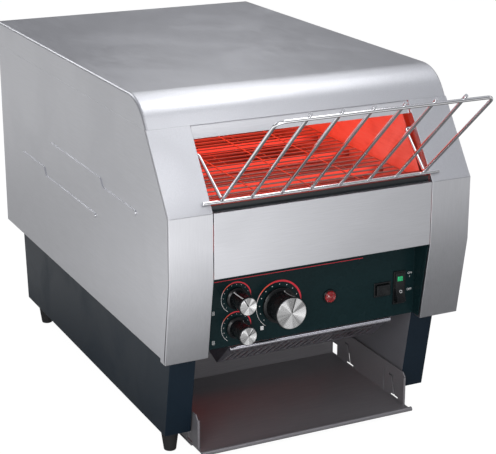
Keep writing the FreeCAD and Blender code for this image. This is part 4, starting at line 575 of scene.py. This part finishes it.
# ---------------------------------------------------------------- Shafts, wheels, chain and motor
# Turned steel spindles with toothed wheels in bronze bushes, driven by a chain from a gearmotor. The motor
# is painted, and the rest is bare metal.
turned_steel = brushed_metal("turned steel", (0.52, 0.52, 0.54), 0.32, (0.05, 1, 1), fineness=700.0,
                             patch=40.0)
bronze = brushed_metal("sintered bronze", (0.60, 0.42, 0.22), 0.5, (1, 1, 1), fineness=1500.0, relief=0.2)
motor_paint = coated_sheet("motor paint", (0.08, 0.08, 0.09), 0.45)
for name, node, body, metal, slot in (
        ("front_spindle", "idler_shaft", "idler", turned_steel, "machined_steel"),
        ("rear_spindle", "drive_shaft", "drive", turned_steel, "machined_steel"),
        ("front_belt_wheels", "idler_wheels", "idler", turned_steel, "machined_steel"),
        ("rear_belt_wheels", "drive_wheels", "drive", turned_steel, "machined_steel"),
        ("motor_pinion", "motor_sprocket", "motor_output", turned_steel, "machined_steel"),
        ("spindle_bearings", "spindle_bushes", "toaster", bronze, "bush_bronze"),
        ("geared_motor", "gearmotor", "toaster", motor_paint, "motor_paint")):
    dressed(name, node, metal, body, 0.0002, segments=1)
painted_node("drive_chain", turned_steel)

# ---------------------------------------------------------------- Discharge chute
# A satin steel slide with low sides that brings the toast forward to the tray. It is one folded sheet,
# brushed from front to back.
chute_steel = brushed_metal("chute steel", (0.36, 0.34, 0.38), 0.34, (1, 0.05, 1), patch=14.0)
dressed("toast_chute", "discharge_chute", chute_steel, "toaster", 0.0003)

# ---------------------------------------------------------------- Toast tray and its rails
# A pan of dark satin sheet with a rolled front lip and hemmed sides, cut with two hook slots, a narrow
# slot and a drain window on each side. It slides forward on two folded rails under the base.
tray_steel = brushed_metal("tray steel", (0.26, 0.25, 0.265), 0.36, (0.05, 1, 1), fineness=700.0,
                           variation=0.10, patch=18.0, metal=0.45)
dressed("pull_out_tray", "toast_tray", tray_steel, "tray", 0.00025)
dressed("slide_rails", "tray_rails", tray_steel, "toaster", 0.0003)

# ---------------------------------------------------------------- Base boxes and feet
# Folded steel side boxes and a louvred rear panel in fine textured paint, on four tapered rubber feet. The
# boxes are bare steel on the faces toward the tray.
INWARD = 0.9
base_paint = coated_sheet("textured base paint", (0.001, 0.009, 0.019), 0.42, texture=600.0, relief=0.15,
                          shine=0.30, wear=(0.05, 0.06, 0.07))
primer = brushed_metal("bare inner steel", (0.20, 0.20, 0.22), 0.40, (1, 0.05, 1), patch=14.0, metal=0.4)
for side, inward in (("left", 1), ("right", -1)):
    bm = merged_copy(f"base_{side}")
    break_edges(bm, 0.0006)
    for face in bm.faces:
        if face.normal.x * inward > INWARD:
            face.material_index = 1
    finished(f"base_box_{side}", bm, [base_paint, primer], "toaster", [f"base_{side}"])
dressed("base_louvres", "base_rear", base_paint, "toaster", 0.0006)
rubber = coated_sheet("foot rubber", (0.016, 0.016, 0.017), 0.62, texture=800.0, relief=0.3)
dressed("tapered_feet", "rubber_feet", rubber, "toaster", 0.0009, segments=3)

# ---------------------------------------------------------------- Control panel
# A black enamelled pan set back between the posts, with the controls fixed through it. The enamel is smooth
# and shines little.
panel_enamel = coated_sheet("panel enamel", (0.006, 0.017, 0.019), 0.26, texture=450.0, relief=0.02,
                            shine=0.09)
dressed("control_pan", "control_panel", panel_enamel, "toaster", 0.0003)
panel_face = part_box("lamp_bezel")[1].y

# ---------------------------------------------------------------- Printing on the panel
# Screen-printed marks, a fraction of a millimetre thick: a scale round each dial, from a thin white start to
# a thick red end, its dots, a red rule along the top, small signs, and ON and OFF beside the switch.
PRINT_DEPTH = 0.00012
PRINT_SINK = 0.00004
PRINT_WHITE = (0.80, 0.80, 0.80)
PRINT_RED = (0.62, 0.012, 0.03)
PRINT_ORANGE = (0.75, 0.10, 0.05)
DIALS = (("top_heat", 0.0178, 0.00135), ("bottom_heat", 0.0178, 0.00135), ("speed", 0.0276, 0.0021))
SCALE_START = -146
SCALE_END = 91
SCALE_THIN = 0.00035
SCALE_STEPS = 60
SWELL_STARTS = 0.25
SWELL_LASTS = 0.35
POINT_STARTS = 0.93
DOTS = 10
DOT_START = -130
DOT_STEP = 22
DOT_RING = 0.86
DOT_RADIUS = 0.019
DOT_SIDES = 12
HEAT_SIGNS = ((-0.1215, 0.1745), (-0.1215, 0.1405))
SIGN_STROKES = ((0, 0.0019, 0.0030, 0.0003), (0, -0.0019, 0.0030, 0.0003), (-0.0014, 0, 0.0003, 0.0038),
                (0.0014, 0, 0.0003, 0.0038), (-0.0005, 0, 0.0003, 0.0022), (0.0005, 0, 0.0003, 0.0022))
SPEED_SIGN = (-0.0626, 0.1476)
SPEED_SIGN_STEP = 0.0016
WORD_X = 0.1262
WORD_SIZE = 0.0036
RULE_INSET = 0.0015
RULE_END = 0.064
RULE_Z = 0.2100


def printed_ink(name, colour, second=None, third=None):
    """Ink with a slightly uneven film. With more colours, it runs from one to the next along the print."""
    material, tree, shader = node_material(name)
    film = add_group(tree, GRAIN, mapped(tree), Fineness=1800.0, Relief=0.05)
    ink = blended(tree, film.outputs["Tone"], tinted(colour, 0.88), tinted(colour, 1.08))
    if second:
        along = tree.nodes.new("ShaderNodeAttribute")
        along.attribute_name = "along"
        ink = blended(tree, faded(tree, along.outputs["Fac"], 0.28, 0.42, 0, 1), ink, second)
        ink = blended(tree, faded(tree, along.outputs["Fac"], 0.42, 0.60, 0, 1), ink, third)
    tree.links.new(ink, shader.inputs["Base Color"])
    tree.links.new(between(tree, film.outputs["Tone"], 0.38, 0.5), shader.inputs["Roughness"])
    tree.links.new(film.outputs["Normal"], shader.inputs["Normal"])
    return material


def thickened(bm):
    """Give flat faces that look to the front a thickness, and sink their back into what carries them."""
    bmesh.ops.recalc_face_normals(bm, faces=bm.faces)
    if sum(face.normal.y * face.calc_area() for face in bm.faces) > 0:
        bmesh.ops.reverse_faces(bm, faces=bm.faces)
    flat = bm.faces[:]
    raised = bmesh.ops.extrude_face_region(bm, geom=flat, use_keep_orig=True)
    moved = [item for item in raised["geom"] if isinstance(item, bmesh.types.BMVert)]
    bmesh.ops.translate(bm, verts=moved, vec=(0, -PRINT_DEPTH, 0))
    bmesh.ops.reverse_faces(bm, faces=flat)
    still = set(bm.verts) - set(moved)
    bmesh.ops.translate(bm, verts=list(still), vec=(0, PRINT_SINK, 0))


def print_scale(bm, x, z, radius, thick):
    """A scale clockwise round a dial, which swells from thin to thick and then runs out to a point."""
    along = bm.verts.layers.float.new("along")
    ends = [bm.verts.new((x, panel_face, z + radius + step)) for step in (-0.0001, 0.0001)]
    edge = bm.edges.new(ends)
    bmesh.ops.rotate(bm, verts=ends, cent=(x, 0, z),
                     matrix=Matrix.Rotation(math.radians(SCALE_START), 3, "Y"))
    bmesh.ops.spin(bm, geom=[edge, *ends], cent=(x, 0, z), axis=(0, 1, 0),
                   angle=math.radians(SCALE_END - SCALE_START), steps=SCALE_STEPS)
    for vert in bm.verts:
        across, up = vert.co.x - x, vert.co.z - z
        reach = math.hypot(across, up)
        turned = (math.degrees(math.atan2(across, up)) - SCALE_START) % 360
        share = min(1.0, turned / (SCALE_END - SCALE_START))
        swell = min(1.0, max(0.0, (share - SWELL_STARTS) / SWELL_LASTS))
        width = SCALE_THIN + (thick - SCALE_THIN) * swell
        if share > POINT_STARTS:
            width *= max(0.02, (1 - share) / (1 - POINT_STARTS))
        new_reach = radius + math.copysign(width / 2, reach - radius)
        vert.co.x, vert.co.z = x + across / reach * new_reach, z + up / reach * new_reach
        vert[along] = share


def on_panel(x, z):
    """The place and turn of a flat shape that lies on the face of the panel."""
    return Matrix.Translation((x, panel_face, z)) @ Matrix.Rotation(math.pi / 2, 4, "X")


def print_bar(bm, x, z, width, height):
    """A flat bar on the panel."""
    bmesh.ops.create_grid(bm, x_segments=1, y_segments=1, size=0.5,
                          matrix=on_panel(x, z) @ Matrix.Diagonal((width, height, 1, 1)))


def placed(bm, axis, degrees, place):
    """Turn a small shape about an axis through the origin, then move it to its place."""
    bmesh.ops.rotate(bm, verts=bm.verts, cent=(0, 0, 0),
                     matrix=Matrix.Rotation(math.radians(degrees), 3, axis))
    bmesh.ops.translate(bm, verts=bm.verts, vec=place)


dial_centres = {}
scale_bm = bmesh.new()
dot_bm = bmesh.new()
for name, radius, thick in DIALS:
    low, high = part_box(f"{name}_knob")
    x, z = (low.x + high.x) / 2, (low.z + high.z) / 2
    dial_centres[name] = (x, z)
    ring_bm = bmesh.new()
    print_scale(ring_bm, x, z, radius, thick)
    ring = bpy.data.meshes.new("ring")
    ring_bm.to_mesh(ring)
    ring_bm.free()
    scale_bm.from_mesh(ring)
    bpy.data.meshes.remove(ring)
    for i in range(DOTS):
        angle = math.radians(DOT_START + DOT_STEP * i)
        dot_place = on_panel(x + radius * DOT_RING * math.sin(angle), z + radius * DOT_RING * math.cos(angle))
        bmesh.ops.create_circle(dot_bm, cap_ends=True, segments=DOT_SIDES, radius=radius * DOT_RADIUS,
                                matrix=dot_place)
thickened(scale_bm)
scale_ink = printed_ink("dial scale ink", PRINT_WHITE, PRINT_ORANGE, PRINT_RED)
finished("dial_scales", scale_bm, scale_ink, "toaster")

white_ink = printed_ink("white ink", PRINT_WHITE)
for x, z in HEAT_SIGNS:
    for across, up, width, height in SIGN_STROKES:
        print_bar(dot_bm, x + across, z + up, width, height)
for up in (SPEED_SIGN_STEP, 0, -SPEED_SIGN_STEP):
    print_bar(dot_bm, SPEED_SIGN[0], SPEED_SIGN[1] + up, 0.0040, 0.0013)
print_bar(dot_bm, WORD_X, 0.1785, 0.0003, 0.0022)
thickened(dot_bm)
finished("dial_dots_and_signs", dot_bm, white_ink, "toaster")

for name, word, z in (("on_word", "ON", 0.1815), ("off_word", "OFF", 0.1615)):
    letters = bpy.data.curves.new(name, "FONT")
    letters.body = word
    letters.size = WORD_SIZE
    letters.align_x = "CENTER"
    letters.extrude = PRINT_DEPTH / 2
    lettering = bpy.data.objects.new(name, letters)
    bpy.context.collection.objects.link(lettering)
    bpy.context.view_layer.update()
    word_bm = bmesh.new()
    word_bm.from_mesh(bpy.data.meshes.new_from_object(lettering))
    bpy.data.objects.remove(lettering)
    bmesh.ops.remove_doubles(word_bm, verts=word_bm.verts, dist=1e-7)
    placed(word_bm, "X", 90, (WORD_X, panel_face - PRINT_DEPTH / 2, z))
    finished(name, word_bm, white_ink, "toaster")

rule_bm = bmesh.new()
rule_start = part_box("control_panel")[0].x + RULE_INSET
print_bar(rule_bm, (rule_start + RULE_END) / 2, RULE_Z, RULE_END - rule_start, 0.0006)
thickened(rule_bm)
finished("red_rule", rule_bm, printed_ink("red ink", PRINT_RED), "toaster")

# ---------------------------------------------------------------- Knobs
# Moulded black plastic on steel shafts: a skirt by the panel, a waist that widens to the face, and a white
# line inlaid down the side. Each is pushed on the shaft of its switch. Its sizes are the radii of skirt,
# waist and face, and its setting in degrees.
KNOB_SIZES = {"top_heat": (0.0124, 0.0092, 0.0107, -30), "bottom_heat": (0.0124, 0.0092, 0.0107, 38),
              "speed": (0.0206, 0.0166, 0.0186, 15)}
KNOB_STEPS = 72
LINE_PROUD = 0.00005
LINE_SUNK = 0.0004
LINE_HALF_WIDTH = 0.0006


def knob_profile(skirt, waist, face):
    """Half of the knob's outline in metres, as radius and distance out from the panel."""
    return [(0.0030, 0.0008), (skirt - 0.0006, 0.0008), (skirt, 0.0014), (skirt, 0.0037),
            (skirt - 0.0006, 0.0043), (waist + 0.0008, 0.0049), (waist + 0.0001, 0.0062), (waist, 0.0120),
            (waist + 0.0003, 0.0180), (waist + 0.45 * (face - waist), 0.0235), (face - 0.0002, 0.0278),
            (face, 0.0286), (face, 0.0293), (face - 0.0003, 0.0298), (face - 0.0009, 0.0300), (0, 0.0300)]


def spun(points, x, z, start=0.0, turn=2 * math.pi, steps=KNOB_STEPS):
    """A body turned about an axis that runs out from the panel at x and z."""
    bm = bmesh.new()
    outline = [bm.verts.new((x, panel_face - out, z + radius)) for radius, out in points]
    edges = [bm.edges.new(pair) for pair in zip(outline, outline[1:])]
    bmesh.ops.rotate(bm, verts=outline, cent=(x, 0, z), matrix=Matrix.Rotation(start, 3, "Y"))
    bmesh.ops.spin(bm, geom=[*outline, *edges], cent=(x, 0, z), axis=(0, 1, 0), angle=turn, steps=steps,
                   use_merge=turn > 6)
    bmesh.ops.remove_doubles(bm, verts=bm.verts, dist=MERGE_DISTANCE)
    bmesh.ops.recalc_face_normals(bm, faces=bm.faces)
    return bm


knob_black, tree, shader = node_material("knob moulding")
moulding = add_group(tree, GRAIN, mapped(tree), Fineness=1400.0, Relief=0.08)
handled = add_group(tree, MARKS, mapped(tree), Patch_scale=70.0)
tree.links.new(blended(tree, handled.outputs["Mask"], (0.006, 0.007, 0.008), (0.013, 0.014, 0.015)),
               shader.inputs["Base Color"])
shader.inputs["Specular IOR Level"].default_value = 0.3
tree.links.new(between(tree, handled.outputs["Mask"], 0.24, 0.36), shader.inputs["Roughness"])
tree.links.new(moulding.outputs["Normal"], shader.inputs["Normal"])
for name, (skirt, waist, face, angle) in KNOB_SIZES.items():
    x, z = dial_centres[name]
    profile = knob_profile(skirt, waist, face)
    finished(f"{name}_grip", spun(profile, x, z), knob_black, f"{name}_dial", [f"{name}_knob"])
    side = [(radius + LINE_PROUD, out) for radius, out in profile[5:12]]
    inner = [(radius - LINE_SUNK, out) for radius, out in reversed(side)]
    half_turn = LINE_HALF_WIDTH / waist
    line_bm = spun([*side, *inner, side[0]], x, z, math.radians(angle) - half_turn, 2 * half_turn, 3)
    bmesh.ops.holes_fill(line_bm, edges=line_bm.edges, sides=0)
    bmesh.ops.recalc_face_normals(line_bm, faces=line_bm.faces)
    finished(f"{name}_side_line", line_bm, white_ink, f"{name}_dial")
    painted_node(f"{name}_shaft", turned_steel)

# ---------------------------------------------------------------- Knob caps
# Discs of spun aluminium let into the knob faces. The turning marks run in rings, and bright and dark
# sectors of painted reflection are laid into their colour. A black filled groove points to the setting.
POINTER_WIDTH = 0.00106
POINTER_DEPTH = 0.0005
POINTER_FORWARD = 0.00035
POINTER_REACH = 0.9


def soft_box(size, middle, edge, segments):
    """A small box about a point near the origin, with its edges broken."""
    bm = bmesh.new()
    bmesh.ops.create_cube(bm, size=1)
    bmesh.ops.scale(bm, verts=bm.verts, vec=size)
    bmesh.ops.translate(bm, verts=bm.verts, vec=middle)
    bmesh.ops.bevel(bm, geom=bm.edges[:], offset=edge, segments=segments, profile=0.5, affect="EDGES",
                    material=-1)
    return bm


for name, (_, _, face, angle) in KNOB_SIZES.items():
    x, z = dial_centres[name]
    spun_metal, tree, shader = node_material(f"{name} spun aluminium")
    shader.inputs["Metallic"].default_value = 1
    shader.inputs["Anisotropic"].default_value = 0.9
    outward = tree.nodes.new("ShaderNodeVectorMath")
    outward.operation = "NORMALIZE"
    tree.links.new(mapped(tree, scale=(1, 0, 1), place=(-x, 0, -z)), outward.inputs[0])
    radial = tree.nodes.new("ShaderNodeVectorTransform")
    radial.vector_type = "VECTOR"
    radial.convert_from = "OBJECT"
    radial.convert_to = "WORLD"
    tree.links.new(outward.outputs[0], radial.inputs[0])
    tree.links.new(radial.outputs[0], shader.inputs["Tangent"])
    # Painted reflection: bright and dark sectors painted into the colour by direction round the centre.
    painted_sectors = tree.nodes.new("ShaderNodeTexNoise")
    painted_sectors.inputs["Scale"].default_value = 1.5
    painted_sectors.inputs["Detail"].default_value = 1
    tree.links.new(outward.outputs[0], painted_sectors.inputs["Vector"])
    painted_sector_tone = faded(tree, painted_sectors.outputs["Fac"], 0.40, 0.60, 0.42, 1.0)
    rings = tree.nodes.new("ShaderNodeTexWave")
    rings.wave_type = "RINGS"
    rings.rings_direction = "Y"
    rings.inputs["Scale"].default_value = 900
    rings.inputs["Distortion"].default_value = 0.4
    tree.links.new(mapped(tree, place=(-x, 0, -z)), rings.inputs["Vector"])
    turned = blended(tree, rings.outputs["Fac"], (0.80, 0.80, 0.81), (0.96, 0.96, 0.96))
    tree.links.new(blended(tree, painted_sector_tone, BLACK, turned), shader.inputs["Base Color"])
    tree.links.new(between(tree, rings.outputs["Fac"], 0.24, 0.34), shader.inputs["Roughness"])
    dressed(f"{name}_face_disc", f"{name}_cap", spun_metal, f"{name}_dial", 0.00008)
    fill_bm = soft_box((POINTER_WIDTH, POINTER_DEPTH, face * POINTER_REACH),
                       (0, -POINTER_FORWARD, face * POINTER_REACH / 2), 0.00005, 1)
    low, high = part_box(f"{name}_cap")
    placed(fill_bm, "Y", angle, (x, (low.y + high.y) / 2, z))
    finished(f"{name}_pointer", fill_bm, knob_black, f"{name}_dial")
painted_node("knob_switches", knob_black)

# ---------------------------------------------------------------- Pilot lamp
# A dark red plastic lens with stepped rings to spread the light, in a black ring pressed in the panel. The
# steps are given as shares of the lens radius and metres back from its front.
low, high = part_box("pilot_lamp")
lamp_x, lamp_z, lens_radius = (low.x + high.x) / 2, (low.z + high.z) / 2, (high.x - low.x) / 2
lens_front = panel_face - low.y
LENS_STEPS = ((1.0, 0.0022), (0.90, 0.0014), (0.84, 0.0015), (0.68, 0.0008), (0.62, 0.0009), (0.44, 0.0003),
              (0.38, 0.0004), (0.18, 0), (0, 0))
lens_outline = [(0, panel_face - high.y), (lens_radius, panel_face - high.y)]
lens_outline += [(lens_radius * share, lens_front - back) for share, back in LENS_STEPS]
lens_red, tree, shader = node_material("lens red")
shader.inputs["Coat Weight"].default_value = 0.8
shader.inputs["Roughness"].default_value = 0.2
depth = add_group(tree, MARKS, mapped(tree), Patch_scale=160.0)
tree.links.new(blended(tree, depth.outputs["Mask"], (0.20, 0.004, 0.006), (0.42, 0.010, 0.012)),
               shader.inputs["Base Color"])
finished("lamp_lens", spun(lens_outline, lamp_x, lamp_z, steps=36), lens_red, "toaster",
         ["pilot_lamp"], smooth=20)
dressed("lamp_ring", "lamp_bezel", knob_black, "toaster", 0.0003)

# ---------------------------------------------------------------- Power rocker
# A tall black rocker that turns on a pin in its frame, with a green window above and a ring mark below.
# Window and mark ride on the rocker and lean with its two faces.
ROCKER_LEAN = math.radians(10)
ROCKER_PIN_BACK = 0.002
WINDOW_SIZE = (0.0068, 0.0012, 0.0056)
WINDOW_OUT_UP = (0.00603, 0.0099)
WINDOW_LEAN = -0.65
MARK_RADII = (0.0013, 0.0018)
MARK_OUT_UP = (0.00525, -0.0052)
MARK_LEAN = -19.4
MARK_STEPS = 28
dressed("switch_frame", "rocker_frame", knob_black, "toaster", 0.0005, segments=3)
dressed("switch_rocker", "power_rocker", knob_black, "power_switch", 0.0006, segments=3)
low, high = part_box("rocker_frame")
rocker_x, rocker_z = (low.x + high.x) / 2, (low.z + high.z) / 2


def on_rocker(out, up):
    """The y and z of a point on the leaning rocker, given out and up from its pin as if it stood upright."""
    return (panel_face + ROCKER_PIN_BACK - out * math.cos(ROCKER_LEAN) + up * math.sin(ROCKER_LEAN),
            rocker_z + out * math.sin(ROCKER_LEAN) + up * math.cos(ROCKER_LEAN))


green, tree, shader = node_material("green window")
shader.inputs["Coat Weight"].default_value = 0.6
shader.inputs["Roughness"].default_value = 0.25
shader.inputs["Emission Strength"].default_value = 0.35
cells = add_group(tree, MARKS, mapped(tree), Patch_scale=400.0)
lit_green = blended(tree, cells.outputs["Mask"], (0.004, 0.26, 0.09), (0.010, 0.42, 0.16))
tree.links.new(lit_green, shader.inputs["Base Color"])
tree.links.new(lit_green, shader.inputs["Emission Color"])
window_bm = soft_box(WINDOW_SIZE, (0, 0, 0), 0.0003, 2)
y, z = on_rocker(*WINDOW_OUT_UP)
placed(window_bm, "X", WINDOW_LEAN, (rocker_x + 0.0004, y + 0.0002, z))
finished("switch_window", window_bm, green, "power_switch")

mark_bm = bmesh.new()
ends = [mark_bm.verts.new((0, 0, radius)) for radius in MARK_RADII]
bmesh.ops.spin(mark_bm, geom=[*ends, mark_bm.edges.new(ends)], cent=(0, 0, 0), axis=(0, 1, 0),
               angle=2 * math.pi, steps=MARK_STEPS, use_merge=True)
thickened(mark_bm)
y, z = on_rocker(*MARK_OUT_UP)
placed(mark_bm, "X", MARK_LEAN, (rocker_x + 0.0006, y, z))
finished("switch_ring_mark", mark_bm, white_ink, "power_switch")

# ---------------------------------------------------------------- Push button
# A square black push button in its snap-in frame, both moulded plastic. The cap slides in and out of the
# frame on its own.
dressed("button_frame", "power_save_frame", knob_black, "toaster", 0.0004)
dressed("button_cap", "power_save_button", knob_black, "power_save", 0.0002, segments=1)

# ---------------------------------------------------------------- Burn guard
# A bright sheet pressed into a slanted net of leaning slots with two side wings, and a polished rolled rim.
# It hangs under the control panel, above the tray.
guard_metal = brushed_metal("guard metal", (0.62, 0.60, 0.66), 0.30, (1, 1, 1), fineness=600.0)
dressed("slotted_guard", "burn_guard", guard_metal, "toaster", 0.00015, segments=1)
rim_metal = brushed_metal("guard rim metal", (0.80, 0.79, 0.86), 0.22, (0.05, 1, 1), patch=30.0)
dressed("guard_bright_rim", "guard_rim", rim_metal, "toaster", 0.0002)

# ---------------------------------------------------------------- Rear panel, fan and cord gland
# A stainless rear sheet held by four flanged hexagon screws, with a ring grille in front of a moulded fan
# and a moulded gland for the mains lead. Each screw is a flange, a hexagon and a shank.
SCREW_FLANGE = 0.0040
SCREW_STEPS = ((SCREW_FLANGE, 32, 0, 0.0006), (0.0034, 6, 0.0004, 0.0021), (0.0019, 16, -0.0088, 0.0002))
rear_steel = brushed_metal("rear steel", STEEL, STEEL_ROUGHNESS, (1, 1, 0.04))
dressed("rear_sheet", "rear_panel", rear_steel, "toaster", 0.0002, segments=1)
matt_black = coated_sheet("matt moulding", (0.022, 0.022, 0.024), 0.5, texture=900.0, relief=0.15)
for name, node, body in (("lead_gland", "cord_gland", "toaster"), ("fan_housing", "fan_frame", "toaster"),
                         ("fan_wheel", "fan_rotor", "fan")):
    dressed(name, node, matt_black, body, 0.0004)
zinc = brushed_metal("zinc plate", (0.58, 0.58, 0.56), 0.35, (1, 1, 1), patch=120.0)
low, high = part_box("rear_screws")
screw_bm = bmesh.new()
head_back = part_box("rear_panel")[1].y
for x in (low.x + SCREW_FLANGE, high.x - SCREW_FLANGE):
    for z in (low.z + SCREW_FLANGE, high.z - SCREW_FLANGE):
        for radius, sides, start, end in SCREW_STEPS:
            turned_place = (Matrix.Translation((x, head_back + (start + end) / 2, z))
                            @ Matrix.Rotation(math.pi / 2, 4, "X"))
            made = bmesh.ops.create_cone(screw_bm, cap_ends=True, segments=sides, radius1=radius,
                                         radius2=radius, depth=end - start, matrix=turned_place)
            rim = {edge for vert in made["verts"] for edge in vert.link_edges}
            bmesh.ops.bevel(screw_bm, geom=list(rim), offset=0.00015, segments=1, profile=0.5, affect="EDGES",
                            material=-1)
finished("rear_sheet_screws", screw_bm, zinc, "toaster", ["rear_screws"])

# ---------------------------------------------------------------- Control board
# A lacquered board with a relay and a transformer, on posts beside the left chamber wall. The housing
# hides it.
lacquer = coated_sheet("board lacquer", (0.03, 0.15, 0.07), 0.4, texture=300.0)
painted_node("control_board", lacquer)
